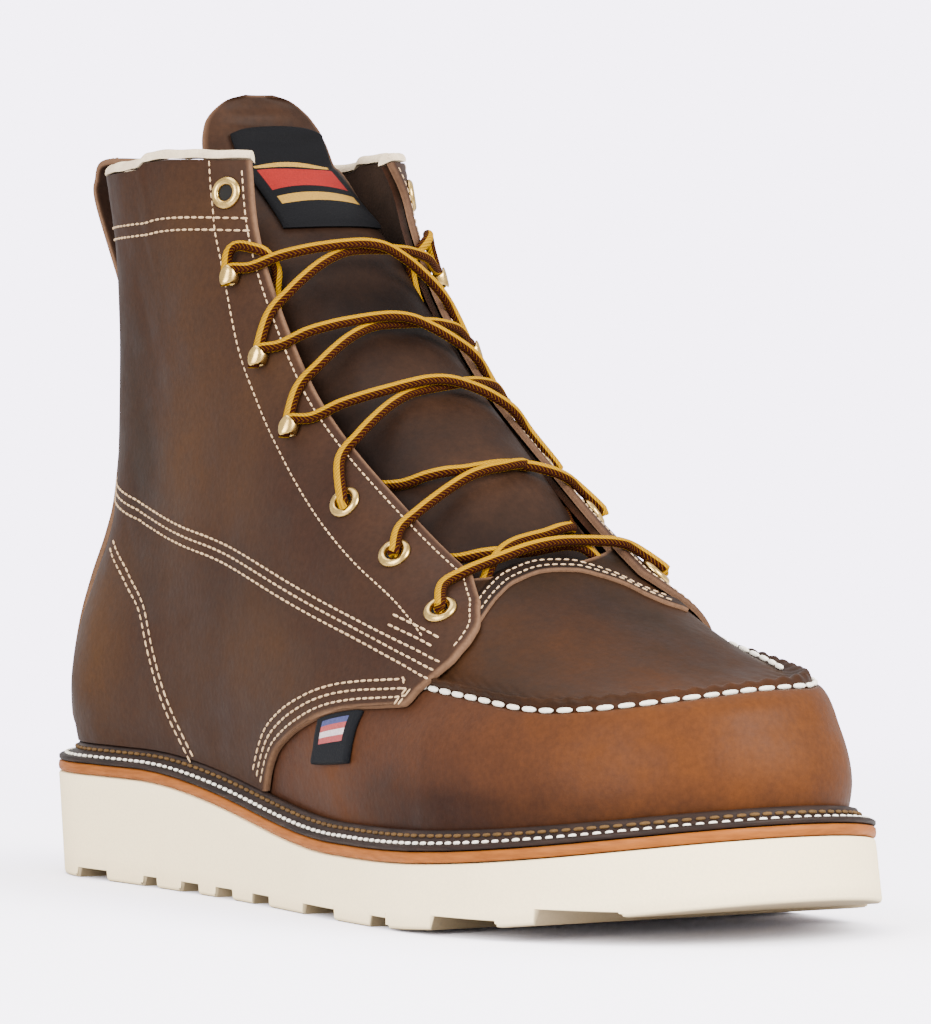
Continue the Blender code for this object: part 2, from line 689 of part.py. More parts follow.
def build_quarter(side):
    """Quarter panel of one side, from its wing, nose and eyestay back to the heel seam."""
    outer, inner = [], []
    for row, level in enumerate(QUARTER_LEVELS):
        front = quarter_front(level, side)
        back = 1.0 - BACK_SEAM / ring_length(level, side)
        shares = side_shares(level, side, front, back, QUARTER_RUN_COLUMNS)
        levels = [level] * len(shares)
        if row == 0:
            levels = [level_at_rise(side, share, PANEL_SEAT) for share in shares]
        inner.append([skin(at, side * share, PANEL_INSIDE) for at, share in zip(levels, shares)])
        outer.append([skin(at, side * share, PANEL_OUTSIDE) for at, share in zip(levels, shares)])
    patch_shell("quarter_" + SIDE_NAMES[side], outer, inner, "leather")


def stay_half(level):
    """Half width of the strip up the back at a level."""
    return float(smooth_through([s.level for s in STAY_EDGE], [s.half_width for s in STAY_EDGE], level))


def stay_row(level, offset):
    """Points across the strip up the back at a level."""
    row = []
    for across in np.linspace(-1.0, 1.0, STAY_COLUMNS):
        side = LATERAL if across < 0 else MEDIAL
        share = 1.0 - abs(across) * stay_half(level) / ring_length(level, side)
        at = max(level, level_at_rise(side, share, PANEL_SEAT))
        row.append(skin(at, side * share, offset))
    return row


def build_backstay():
    """Strip up the back that covers the seam between the quarters."""
    outer = [stay_row(level, STAY_SEAT + STAY_WALL) for level in STAY_LEVELS]
    inner = [stay_row(level, STAY_SEAT) for level in STAY_LEVELS]
    patch_shell("backstay", outer, inner, "leather")


def build_pull_loop():
    """Strap that leaves the back, stands off the collar and folds into the shaft."""
    foot = skin(STAY_TOP_LEVEL, 1.0, STAY_SEAT + STRAP_WALL / 2) + np.array((0, 0, 2 * FIT))
    collar = skin(COLLAR_LEVEL, 1.0)
    places = {
        "foot": foot[0],
        "outside": collar[0] - LOOP_STAND_OFF - PANEL_WALL,
        "inside": collar[0] + UPPER_WALL + BINDING_OVERHANG + FIT + 2 * FACET + STRAP_WALL / 2,
    }
    places["middle"] = (places["outside"] + places["inside"]) / 2
    heights = {"foot": foot[2], "collar": collar[2], "top": LOOP_TOP - STRAP_WALL / 2}
    route = np.array([(places[stop.place] + stop.ahead, heights[stop.height] + stop.above)
                      for stop in LOOP_STOPS])
    heading = np.gradient(route, axis=0)
    heading /= np.linalg.norm(heading, axis=1)[:, None]
    outer, inner = [], []
    for stop, (x, z), (along_x, along_z) in zip(LOOP_STOPS, route, heading):
        across = np.linspace(-LOOP_HALF_WIDTH, LOOP_HALF_WIDTH, LOOP_COLUMNS)
        for grid, half in ((outer, STRAP_WALL / 2), (inner, -STRAP_WALL / 2)):
            grid.append([(x - along_z * half + stop.curl * y * y, y, z + along_x * half) for y in across])
    patch_shell("pull_loop", outer, inner, "leather")


def build_binding():
    """Rolled rim on the collar, from one eyestay round the back to the other."""
    low, high = -UPPER_WALL - BINDING_OVERHANG, PANEL_OUTSIDE + BINDING_OVERHANG
    middle = (low + high) / 2
    seat = FIT + 2 * FACET
    shoulder = BINDING_HEIGHT * BINDING_SHOULDER
    section = ((low, seat), (high, seat), (high, shoulder), (middle + BINDING_CROWN, BINDING_HEIGHT),
               (middle - BINDING_CROWN, BINDING_HEIGHT), (low, shoulder))
    places = []
    for side in (LATERAL, MEDIAL):
        edge = around_at_gap(COLLAR_LEVEL, side, throat_gap(COLLAR_LEVEL, side))
        run = side * np.linspace(edge, 1.0, BINDING_COLUMNS)
        places += list(run) if side == LATERAL else list(run[-2::-1])
    rows = [[skin(COLLAR_LEVEL, place, out) + np.array((0, 0, up)) for out, up in section]
            for place in places]
    sides = len(section)
    points = [point for row in rows for point in row]
    faces = []
    for r in range(len(rows) - 1):
        faces += loop_faces(sides, r * sides, (r + 1) * sides)
    faces.append(tuple(range(sides)))
    faces.append(tuple(range(len(points) - sides, len(points))))
    mesh_object("collar_binding", points, faces, "binding")


# Tongue, label and side tab

def tongue_point(stop, across, deeper):
    """Point of the tongue's outer face, across from -1 to 1, sunk deeper by a distance."""
    side = LATERAL if across < 0 else MEDIAL
    gap = abs(across) * stop.half_width
    share = around_at_gap(stop.level, side, gap) if gap > 0.01 else 0.0
    spot = skin(stop.level, side * max(share, TINY), -(UPPER_WALL + stop.sink * 0.5 + deeper))
    settle = stop.sink * (1.0 - across * across) * 0.5
    return spot + np.array((-stop.lean - settle, 0.0, stop.lift))


def build_tongue():
    """Tongue from under the plug up past the collar, tucked behind both eyestays."""
    across = np.linspace(-1.0, 1.0, TONGUE_COLUMNS)
    outer = [[tongue_point(stop, a, 0.0) for a in across] for stop in TONGUE_STOPS]
    inner = [[tongue_point(stop, a, TONGUE_WALL) for a in across] for stop in TONGUE_STOPS]
    patch_shell("tongue", outer, inner, "leather")


def tongue_stop_at(row):
    """Tongue sizes between the rows of its table."""
    rows = np.arange(len(TONGUE_STOPS))
    return TongueStop(*(float(np.interp(row, rows, column)) for column in zip(*TONGUE_STOPS)))


def build_label():
    """Satin label sewn on the tongue near its top."""
    outer, inner = [], []
    for row in LABEL_ROWS:
        stop = tongue_stop_at(row)
        reach = LABEL_HALF_WIDTH / stop.half_width
        across = np.linspace(-reach, reach, LABEL_COLUMNS)
        outer.append([tongue_point(stop, a, -LABEL_SEAT - LABEL_WALL) for a in across])
        inner.append([tongue_point(stop, a, -LABEL_SEAT) for a in across])
    patch_shell("tongue_label", outer, inner, "label")


def build_side_tab():
    """Folded tab that hangs from under the lateral wing on the vamp."""
    outer, inner = [], []
    for row in TAB_ROWS:
        ends = [around_at_x(row.level, LATERAL, x) for x in (row.front, row.rear)]
        shares = np.linspace(ends[0], ends[1], TAB_COLUMNS)
        outer.append([skin(row.level, LATERAL * share, FIT + TAB_WALL) for share in shares])
        inner.append([skin(row.level, LATERAL * share, FIT) for share in shares])
    patch_shell("side_tab", outer, inner, "label")


# Lacing

def stay_place(level, side, inset):
    """Place on the last a distance behind the eyestay's front edge."""
    return side * (quarter_front(level, side) + inset / ring_length(level, side))


def panel_frame(level, side, inset, lift):
    """Point above the quarter panel with its outward, backward and upward directions."""
    place = stay_place(level, side, inset)
    spot = skin(level, place, PANEL_OUTSIDE + lift)
    out = last_normal(level, place)
    back = last_point(level, place + side * 0.01) - last_point(level, place - side * 0.01)
    back /= np.linalg.norm(back)
    return spot, out, back, np.cross(out, back) * -side


def build_eyelet(station, side):
    """Rolled brass eyelet on the eyestay."""
    spot, out, back, up = panel_frame(station.level, side, station.inset, FIT)
    section = ((EYELET_HOLE, 0.0), (EYELET_RADIUS, 0.0), (EYELET_RADIUS * 0.9, EYELET_HEIGHT * 0.8),
               ((EYELET_RADIUS + EYELET_HOLE) / 2, EYELET_HEIGHT))
    turns = np.linspace(0.0, 2 * math.pi, EYELET_TURNS, endpoint=False)
    loops = [[spot + (back * math.cos(t) + up * math.sin(t)) * radius + out * height for t in turns]
             for radius, height in section]
    band("eyelet_" + SIDE_NAMES[side] + "_" + station.name, loops, "brass")


def build_hook(station, side):
    """Lace hook: a foot on the eyestay that curls up and back over the lace."""
    spot, out, back, up = panel_frame(station.level, side, station.inset, FIT)
    path = np.array([(stop.behind, stop.rise) for stop in HOOK_PATH])
    heading = np.gradient(path, axis=0)
    heading /= np.linalg.norm(heading, axis=1)[:, None]
    rim = ((-0.5, -0.5), (0.5, -0.5), (0.5, 0.5), (-0.5, 0.5))
    rows = []
    for (along, height), (run, rise) in zip(path, heading):
        rows.append([spot + back * (along - rise * HOOK_WALL * t) + out * (height + run * HOOK_WALL * t)
                     + up * HOOK_WIDTH * w for w, t in rim])
    points = [point for row in rows for point in row]
    faces = [(4 * r + i, 4 * r + (i + 1) % 4, 4 * r + 4 + (i + 1) % 4, 4 * r + 4 + i)
             for r in range(len(rows) - 1) for i in range(4)]
    faces += [(0, 1, 2, 3), tuple(range(len(points) - 4, len(points)))]
    mesh_object("hook_" + SIDE_NAMES[side] + "_" + station.name, points, faces, "brass")


LACE_SIDES = 6
STRAND_POINTS = 9
STRAND_CLEARANCE = 1.2
LACE_LIFT = LACE_RADIUS + FIT
LACE_STAGGER = 0.09
CROSSING_ARCH = -1.2
BAR_ARCH = 1.5
LACE_CREST = {"1": 0.40, "2": 0.16, "3": 0.33, "4": 0.40, "5": 0.40}
CROSSING_SEAT = 0.5
BAR_SEAT = -0.2


def strand_route(low, high, side):
    """Route of one lace strand from a station on a side to one on the other, highest over the tongue."""
    crossing = low != high
    stagger = LACE_STAGGER if crossing else 0.0
    seat = PANEL_OUTSIDE + LACE_LIFT + (CROSSING_SEAT if crossing else BAR_SEAT)
    arch = CROSSING_ARCH if crossing else BAR_ARCH
    ends, crest = (station_named(low), station_named(high)), LACE_CREST[low]
    start, end = ends[0].level + stagger, ends[1].level - stagger
    route = []
    for t in np.linspace(0.0, 1.0, STRAND_POINTS):
        reach = 1.0 - 2.0 * t
        if reach > 0:
            level = start + (end + crest - start) * (1.0 - reach * reach)
        else:
            level = end + crest * (1.0 - abs(reach) ** 3)
        here = side if reach > 0 else -side
        inset = ends[0 if reach > 0 else 1].inset - EYELET_RADIUS - LACE_RADIUS - STRAND_CLEARANCE
        edge = quarter_front(level, here) + inset / ring_length(level, here)
        lift = seat + arch * (1.0 - reach * reach)
        route.append(skin(level, here * max(edge * abs(reach), TINY), lift))
    return route


def station_named(name):
    """Lace station by its name."""
    return next(station for station in STATIONS if station.name == name)


def lace_tube(name, route, radius):
    """Closed tube along a route in millimetres."""
    route = np.array(route)
    heading = np.gradient(route, axis=0)
    points = []
    for spot, along in zip(route, heading):
        along = along / np.linalg.norm(along)
        flat = np.cross(along, (1.0, 0.0, 1.0))
        flat /= np.linalg.norm(flat)
        rise = np.cross(flat, along)
        for t in np.linspace(0.0, 2 * math.pi, LACE_SIDES, endpoint=False):
            points.append(spot + (flat * math.cos(t) + rise * math.sin(t)) * radius)
    faces = []
    for row in range(len(route) - 1):
        faces += loop_faces(LACE_SIDES, row * LACE_SIDES, (row + 1) * LACE_SIDES)
    faces += [tuple(range(LACE_SIDES)), tuple(range(len(points) - LACE_SIDES, len(points)))]
    return mesh_object(name, points, faces, "lace")


def build_lace():
    """Lace over the tongue: the lowest bar, then the crossings, each pair joined where it crosses."""
    lace_tube("lace_bar", strand_route("1", "1", LATERAL), LACE_RADIUS)
    for low, high in CROSSINGS:
        pair = lace_tube("lace_crossing_" + low, strand_route(low, high, LATERAL), LACE_RADIUS)
        other = lace_tube("lace_partner_" + low, strand_route(low, high, MEDIAL), LACE_RADIUS * 0.97)
        add_boolean(pair, "UNION", other)


def build_lace_end(side):
    """End of the lace: from the top hook up over the eyestay and down beside the tongue."""
    level, inset = station_named("6")[1:3]
    lift = LACE_LIFT + 0.8
    stops = ((level + 0.16, inset - 2.0, lift), (level + 0.34, inset - 5.5, lift),
             (level + 0.46, 3.0, lift), (level + 0.44, -1.5, lift + 0.4))
    route = [panel_frame(at, side, back, up)[0] for at, back, up in stops]
    inside = skin(level + 0.3, stay_place(level + 0.3, side, -3.2), -1.5)
    route += [inside, skin(level + 0.1, stay_place(level + 0.1, side, -3.4), -3.6)]
    curve = bpy.data.curves.new("lace_end_" + SIDE_NAMES[side], "CURVE")
    curve.dimensions = "3D"
    curve.bevel_depth = LACE_RADIUS * MM
    curve.bevel_resolution = 2
    curve.use_fill_caps = True
    spline = curve.splines.new("POLY")
    spline.points.add(len(route) - 1)
    for point, spot in zip(spline.points, route):
        point.co = (*(Vector(spot) * MM), 1.0)
    new_object("lace_end_" + SIDE_NAMES[side], curve, "lace")


# Assembly

def clear_scene():
    """Empty the scene."""
    for piece in list(bpy.data.objects):
        bpy.data.objects.remove(piece, do_unlink=True)


def boot_empty():
    """Empty that centres the sole on the origin."""
    outline = np.array(sole_loop(0.0, 0.0, spring_at) + sole_loop(1.0, 0.0, spring_at))
    middle = (outline.min(axis=0) + outline.max(axis=0)) / 2
    empty = bpy.data.objects.new("boot", None)
    empty.location = (-middle[0] * MM, -middle[1] * MM, 0.0)
    bpy.context.collection.objects.link(empty)
    return empty


clear_scene()
BOOT = boot_empty()
build_outsole()
build_midsole()
build_welt()
build_insole()
build_upper()
for boot_side in (LATERAL, MEDIAL):
    build_quarter(boot_side)
build_backstay()
build_pull_loop()
build_binding()
build_tongue()
build_label()
build_side_tab()
for boot_side in (LATERAL, MEDIAL):
    for lace_station in STATIONS:
        if lace_station.kind == "eyelet":
            build_eyelet(lace_station, boot_side)
        else:
            build_hook(lace_station, boot_side)
build_lace()
for boot_side in (LATERAL, MEDIAL):
    build_lace_end(boot_side)
bpy.context.view_layer.update()
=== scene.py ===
"""Moc toe work boot, right foot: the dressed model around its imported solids.

Sizes are millimetres in the boot's own frame: x from the back of the heel to the toe, y to the
medial side and z up from the floor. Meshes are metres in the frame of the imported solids.
"""

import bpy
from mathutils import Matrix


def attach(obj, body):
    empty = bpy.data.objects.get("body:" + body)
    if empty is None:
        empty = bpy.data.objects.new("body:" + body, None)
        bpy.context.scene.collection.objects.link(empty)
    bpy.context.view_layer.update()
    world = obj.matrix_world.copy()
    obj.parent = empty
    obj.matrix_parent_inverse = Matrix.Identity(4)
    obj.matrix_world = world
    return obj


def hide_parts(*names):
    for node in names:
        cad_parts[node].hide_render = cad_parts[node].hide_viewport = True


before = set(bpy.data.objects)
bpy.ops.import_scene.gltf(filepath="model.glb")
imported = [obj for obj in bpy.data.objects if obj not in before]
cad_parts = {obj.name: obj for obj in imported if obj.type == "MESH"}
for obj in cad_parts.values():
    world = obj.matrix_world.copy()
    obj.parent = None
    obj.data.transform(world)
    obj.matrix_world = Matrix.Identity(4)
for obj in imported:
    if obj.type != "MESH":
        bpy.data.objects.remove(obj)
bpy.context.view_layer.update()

import logging
import math
from dataclasses import dataclass
from enum import Enum, IntEnum
from typing import Callable, NamedTuple, Optional, Sequence, Union

import bmesh
import bpy
import numpy as np
from mathutils import Vector

LOG = logging.getLogger("boot")
Array = np.ndarray
Triple = tuple[float, float, float]
Colour = Triple
Pairs = tuple[tuple[float, float], ...]
Socket = bpy.types.NodeSocket
Sockets = bpy.types.NodeOutputs
Tree = bpy.types.NodeTree
Mesh = bpy.types.Mesh
Material = bpy.types.Material
Object = bpy.types.Object
MM = 0.001
TINY = 1e-6
ROW_SHIFT = np.array((-152.5, 1.945, 0.0))


class Side(IntEnum):
    """Side of the boot, as the sign of y."""

    LATERAL = -1
    MEDIAL = 1

    @property
    def word(self) -> str:
        """Name of the side in the names of pieces."""
        return self.name.lower()


class Slot(Enum):
    """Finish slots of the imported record."""

    CREPE = "crepe"
    MIDSOLE = "midsole"
    WELT = "welt"
    INSOLE = "insole"
    LEATHER = "leather"
    BINDING = "binding"
    LABEL = "label"
    BRASS = "brass"
    LACE = "lace"


def eased(t: Array) -> Array:
    """Ease from 0 to 1."""
    t = np.clip(t, 0.0, 1.0)
    return t * t * (3.0 - 2.0 * t)


def bump(distance: Array, width: float) -> Array:
    """Soft hump of height 1 that fades over the width."""
    return np.exp(-np.square(np.asarray(distance) / width))


def rolled(away: Array, width: float) -> Array:
    """Rounded edge: 0 at the edge and 1 from the width inwards."""
    return np.sqrt(np.clip(1.0 - np.square(1.0 - np.clip(away / width, 0.0, 1.0)), 0.0, 1.0))


def unit(vectors: Array) -> Array:
    """Vectors of length 1 in the same directions."""
    return vectors / np.maximum(np.linalg.norm(vectors, axis=-1, keepdims=True), TINY)


def hermite(t: Array, start: Array, end: Array, lead: Array, lag: Array) -> Array:
    """Cubic between two values with given slopes at its ends."""
    blend = start * (2 * t**3 - 3 * t**2 + 1) + end * (3 * t**2 - 2 * t**3)
    return blend + lead * (t**3 - 2 * t**2 + t) + lag * (t**3 - t**2)


def smooth_through(knots: Sequence[float], values: Sequence[float], at: Array) -> Array:
    """Monotone cubic through the values at the knots.

    Args:
        knots: Rising places of the values.
        values: Values to pass through.
        at: Places to read.

    Returns:
        Values at the places.
    """
    knots = np.asarray(knots, float)
    values = np.asarray(values, float)
    step = np.diff(knots)
    slope = np.diff(values) / step
    product = slope[:-1] * slope[1:]
    total = np.where(product > 0, slope[:-1] + slope[1:], 1.0)
    inner = np.where(product > 0, 2.0 * product / total, 0.0)
    tangent = np.concatenate(([slope[0]], inner, [slope[-1]]))
    at = np.clip(at, knots[0], knots[-1])
    i = np.clip(np.searchsorted(knots, at) - 1, 0, len(step) - 1)
    t = (at - knots[i]) / step[i]
    return hermite(t, values[i], values[i + 1], step[i] * tangent[i], step[i] * tangent[i + 1])


def run_length(points: Array) -> Array:
    """Length along a line at each of its points."""
    return np.concatenate(([0.0], np.cumsum(np.linalg.norm(np.diff(points, axis=0), axis=1))))


def even_line(points: Array, count: int) -> Array:
    """The same line with its points evenly spaced along it.

    Args:
        points: Points of the line.
        count: Number of points.

    Returns:
        The line's points.
    """
    length = run_length(points)
    even = np.linspace(0.0, length[-1], count)
    return np.column_stack([np.interp(even, length, column) for column in points.T])


def curve_through(stops: Array, count: int) -> Array:
    """Smooth line through stops, evenly spaced along its length.

    Args:
        stops: Rows of coordinates.
        count: Number of points of the line.

    Returns:
        The line's points.
    """
    stops = np.asarray(stops, float)
    padded = np.vstack((2 * stops[0] - stops[1], stops, 2 * stops[-1] - stops[-2]))
    t = np.linspace(0.0, len(stops) - 1, 12 * len(stops))
    i = np.minimum(t.astype(int), len(stops) - 2)
    before, start, end, after = (padded[i + k] for k in range(4))
    return even_line(hermite((t - i)[:, None], start, end, (end - before) / 2, (after - start) / 2), count)


# The last


class Ring(NamedTuple):
    """Level of the last: plan sizes, then heights above the midsole at four places."""

    back_x: float
    front_x: float
    heel_cap: float
    toe_cap: float
    heel_half: float
    waist_half: float
    ball_half: float
    back_rise: float
    waist_rise: float
    ball_rise: float
    front_rise: float
    hug: float
    tilt: float
    toe_power: float


class EdgeStop(NamedTuple):
    """Place of the quarter's front edge at a level."""

    level: float
    x: float


class GapStop(NamedTuple):
    """Distance of each eyestay's edge from the last's axis at a level."""

    level: float
    lateral: float
    medial: float


@dataclass(frozen=True)
class Wedge:
    """Heights and plan curve of the sole that everything stands on."""

    length: float = 305.0
    heel_height: float = 30.4
    fore_height: float = 18.6
    drop_start: float = 68.0
    drop_end: float = 186.0
    toe_spring: float = 9.9
    spring_start: float = 200.0
    midsole: float = 3.6
    bow: float = 4.2
    bow_centre: float = 170.0
    bow_reach: float = 115.0
    swing: float = 4.5
    swing_start: float = 225.0

    def spring(self, x: Array) -> Array:
        """Rise of the sole towards the toe."""
        reach = (np.asarray(x, float) - self.spring_start) / (self.length - self.spring_start)
        return self.toe_spring * np.clip(reach, 0.0, None) ** 2

    def top(self, x: Array) -> Array:
        """Height of the midsole's top."""
        drop = eased((np.asarray(x, float) - self.drop_start) / (self.drop_end - self.drop_start))
        return self.heel_height - (self.heel_height - self.fore_height) * drop + self.spring(x)

    def axis(self, x: Array) -> Array:
        """Sideways curve of the last.

        Args:
            x: Places along the boot.

        Returns:
            Offsets along y.
        """
        x = np.asarray(x, float)
        bow = np.cos(np.clip((x - self.bow_centre) / self.bow_reach, -1.0, 1.0) * math.pi / 2) ** 2
        swing = np.clip((x - self.swing_start) / (self.length - self.swing_start), 0.0, None) ** 3
        return self.swing * swing - self.bow * bow


WEDGE = Wedge()
TREAD = Ring(1.6, 305.0, 40.4, 79.0, 41.2, 41.8, 56.5, 0, 0, 0, 0, 1.0, 0.0, 2.12)
EDGE = Ring(0.0, 303.4, 42.0, 77.4, 42.6, 42.3, 55.2, 0, 0, 0, 0, 1.0, 0.0, 2.12)
RINGS = (
    Ring(6.8, 297.0, 38, 74, 35.2, 35.6, 48.4, 0.7, 0.7, 0.7, 0.7, 1.0, 0.0, 2.15),
    Ring(4.6, 298.0, 39, 74, 37.4, 37.6, 49.2, 19.0, 15.0, 13.0, 12.0, 1.0, 0.0, 2.2),
    Ring(6.6, 294.4, 38, 72, 36.0, 38.4, 47.8, 35.0, 29.0, 26.5, 23.5, 0.9, 0.2, 2.2),
    Ring(10.0, 287.0, 37, 66, 32.9, 37.8, 42.0, 48.0, 42.5, 39.4, 33.2, 0.5, 2.7, 2.3),
    Ring(15.0, 260.0, 37, 62, 31.0, 37.0, 37.5, 60.0, 55.0, 51.5, 39.6, 0.0, 3.2, 2.4),
    Ring(17.8, 207.0, 37, 52, 30.0, 34.5, 35.5, 71.0, 66.5, 69.6, 67.5, 0.0, 5.4, 2.6),
    Ring(19.4, 166.0, 38, 62, 30.0, 32.0, 33.0, 92.0, 90.5, 91.6, 98.6, 0.0, 7.6, 2.4),
    Ring(20.0, 134.0, 40, 52, 30.3, 31.5, 32.0, 116.0, 116.5, 117.5, 120.7, 0.0, 3.0, 2.4),
    Ring(18.4, 115.5, 42, 47, 31.2, 31.6, 31.6, 136.0, 138.0, 138.5, 142.0, 0.0, 0.0, 2.3),
    Ring(16.0, 106.0, 42, 44, 33.0, 33.3, 33.0, 155.5, 157.0, 158.5, 160.5, 0.0, 0.0, 2.2),
)
QUARTER_EDGE = tuple(EdgeStop(*stop) for stop in (
    (0.40, 137.0), (0.80, 140.8), (1.20, 146.0), (1.60, 155.0),
    (1.90, 164.0), (2.15, 172.5), (2.32, 180.0), (2.46, 189.0),
    (2.58, 200.0), (2.70, 210.0), (3.00, 212.8), (3.50, 218.0),
    (4.00, 220.8), (4.25, 220.6), (4.50, 218.6), (4.76, 211.8),
))
THROAT_GAPS = tuple(GapStop(*stop) for stop in (
    (5.0, 19.4, 24.0), (5.5, 21.2, 24.0), (6.0, 23.0, 23.6),
    (6.5, 23.8, 23.6), (7.5, 23.2, 23.4), (8.4, 22.2, 22.2), (9.0, 21.4, 16.4),
))


@dataclass(frozen=True)
class Thickness:
    """Leather thicknesses and the distances of the layers from the last's surface."""

    upper: float = 1.6
    panel_inside: float = 0.65
    panel_outside: float = 2.15
    stay_seat: float = 2.8
    stay: float = 1.5
    tongue: float = 2.0
    strap: float = 1.8


WALLS = Thickness()


class Last:
    """Shape that the upper is drawn over, as a surface of level and place around.

    Levels count the rings from the feather line up. Places run from -1 at the back over the
    lateral side to 0 at the front and over the medial side to 1 at the back.
    """

    waist_share = 0.62
    heel_power = 2.1
    tilt_start = 100.0
    tilt_end = 200.0
    cap_points = 60
    run_points = 40
    arc_points = 721
    throat_level = 5.0
    collar_level = 9.0

    def __init__(self) -> None:
        """Lay out every ring's two sides."""
        self.table = np.array([[self.ring_side(ring, side) for ring in RINGS] for side in Side])

    def half_outline(self, ring: Ring, grow: float = 0.0) -> tuple[Array, Array]:
        """Plan outline of one side of a ring, from its front to its back.

        Args:
            ring: Sizes of the ring.
            grow: Distance to grow outwards.

        Returns:
            Places along the boot and half widths.
        """
        front_x, back_x = ring.front_x + grow, ring.back_x - grow
        ball_x, heel_x = ring.front_x - ring.toe_cap, ring.back_x + ring.heel_cap
        turn = np.linspace(0.0, math.pi / 2, self.cap_points)
        toe_x = ball_x + (front_x - ball_x) * np.cos(turn) ** (2 / ring.toe_power)
        toe_w = (ring.ball_half + grow) * np.sin(turn) ** (2 / ring.toe_power)
        share = np.linspace(0.0, 1.0, self.run_points)[1:-1]
        run_x = ball_x + (heel_x - ball_x) * share
        halves = np.array((ring.ball_half, ring.waist_half, ring.heel_half)) + grow
        run_w = smooth_through((0.0, self.waist_share, 1.0), halves, share)
        heel_end = heel_x - (heel_x - back_x) * np.sin(turn) ** (2 / self.heel_power)
        heel_w = (ring.heel_half + grow) * np.cos(turn) ** (2 / self.heel_power)
        return np.concatenate((toe_x, run_x, heel_end)), np.concatenate((toe_w, run_w, heel_w))

    def ring_side(self, ring: Ring, side: Side) -> Array:
        """Points of one side of a ring, front to back.

        Args:
            ring: Sizes of the ring.
            side: Side of the boot.

        Returns:
            Points, evenly spaced.
        """
        x, half = self.half_outline(ring)
        ball_x, heel_x = ring.front_x - ring.toe_cap, ring.back_x + ring.heel_cap
        waist_x = ball_x + (heel_x - ball_x) * self.waist_share
        places = (ring.back_x, waist_x, ball_x, ring.front_x)
        rises = (ring.back_rise, ring.waist_rise, ring.ball_rise, ring.front_rise)
        chord = smooth_through(places, WEDGE.top(np.array(places)), x)
        base = ring.hug * WEDGE.top(x) + (1.0 - ring.hug) * chord
        forefoot = eased((x - self.tilt_start) / (self.tilt_end - self.tilt_start))
        z = base + smooth_through(places, rises, x) + ring.tilt * side * half / ring.ball_half * forefoot
        return even_line(np.column_stack((x, WEDGE.axis(x) + side * half, z)), self.arc_points)

    def point(self, level: Array, around: Array) -> Array:
        """Points of the surface.

        Args:
            level: Levels, counted in rings.
            around: Places around.

        Returns:
            Points in the shape of the two inputs, with x, y and z last.
        """
        level, around = np.broadcast_arrays(np.asarray(level, float), np.asarray(around, float))
        around = np.where(np.abs(around) > 1.0, (around + 1.0) % 2.0 - 1.0, around)
        place = np.abs(around) * (self.arc_points - 1)
        i = np.minimum(place.astype(int), self.arc_points - 2)
        f = (place - i)[..., None]
        top = len(RINGS) - 1
        k = np.clip(np.floor(level).astype(int), 0, top - 1)
        t = (level - k)[..., None]
        s = (around >= 0).astype(int)

        def near(step: int) -> Array:
            """Points of the ring that many levels away."""
            j = np.clip(k + step, 0, top)
            return self.table[s, j, i] * (1.0 - f) + self.table[s, j, i + 1] * f

        below, low, high, above = (near(step) for step in (-1, 0, 1, 2))
        below = np.where((k == 0)[..., None], 2 * low - high, below)
        above = np.where((k == top - 1)[..., None], 2 * high - low, above)
        return hermite(t, low, high, (high - below) / 2, (above - low) / 2)

    def slopes(self, level: Array, around: Array) -> tuple[Array, Array]:
        """Change of the surface along the place around and along the level.

        Args:
            level: Levels, counted in rings.
            around: Places around.

        Returns:
            Changes along the place and along the level.
        """
        level = np.asarray(level, float)
        step, rise = 0.006, 0.04
        low, high = np.clip(level - rise, 0.0, None), np.clip(level + rise, None, self.collar_level)
        across = (self.point(level, around + step) - self.point(level, around - step)) / (2 * step)
        climb = (self.point(high, around) - self.point(low, around)) / (high - low)[..., None]
        return across, climb

    def normal(self, level: Array, around: Array) -> Array:
        """Outward directions of the surface."""
        return unit(np.cross(*self.slopes(level, np.asarray(around, float))))

    def frame_at(self, level: Array, around: Array) -> tuple[Array, Array]:
        """Points of the surface and its outward directions there."""
        return self.point(level, around), self.normal(level, around)

    def skin(self, level: Array, around: Array, offset: Array = 0.0) -> Array:
        """Points a given distance outside the surface."""
        base, normal = self.frame_at(level, around)
        return base + normal * np.asarray(offset, float)[..., None]

    def project(self, points: Array, level: Array, around: Array) -> tuple[Array, Array]:
        """Level and place of the surface's points nearest to the given ones.

        Args:
            points: Points close to the surface.
            level: First guess of their levels.
            around: First guess of their places.

        Returns:
            Levels and places around.
        """
        for _ in range(5):
            miss = points - self.point(level, around)
            across, climb = self.slopes(level, around)
            aa, bb = (across * across).sum(-1), (climb * climb).sum(-1)
            ab = (across * climb).sum(-1)
            am, bm = (across * miss).sum(-1), (climb * miss).sum(-1)
            fall = np.maximum(aa * bb - ab * ab, TINY)
            around = around + (am * bb - bm * ab) / fall
            level = np.clip(level + (bm * aa - am * ab) / fall, 0.0, self.collar_level)
        return level, around

    def share_where(self, level: Array, side: Side, measure: Callable[[Array], Array],
                    target: Array) -> Array:
        """Share of each ring from the front to where a rising measure reaches its target.

        Args:
            level: Levels to search.
            side: Side of the boot.
            measure: Value of a point, rising from the front to the back.
            target: Value to reach at each level.

        Returns:
            Shares from 0 at the front to 1 at the back.
        """
        level = np.atleast_1d(np.asarray(level, float))
        target = np.broadcast_to(target, level.shape)
        shares = np.linspace(0.0, 1.0, 801)
        points = self.point(level[:, None], side * np.maximum(shares, TINY)[None, :])
        values = np.maximum.accumulate(measure(points), axis=1) + shares * TINY
        return np.array([np.interp(goal, row, shares) for goal, row in zip(target, values)])

    def share_at_x(self, level: Array, side: Side, x: Array) -> Array:
        """Share of each ring from the front to where it passes x."""
        return self.share_where(level, side, lambda p: -p[..., 0], -np.asarray(x, float))

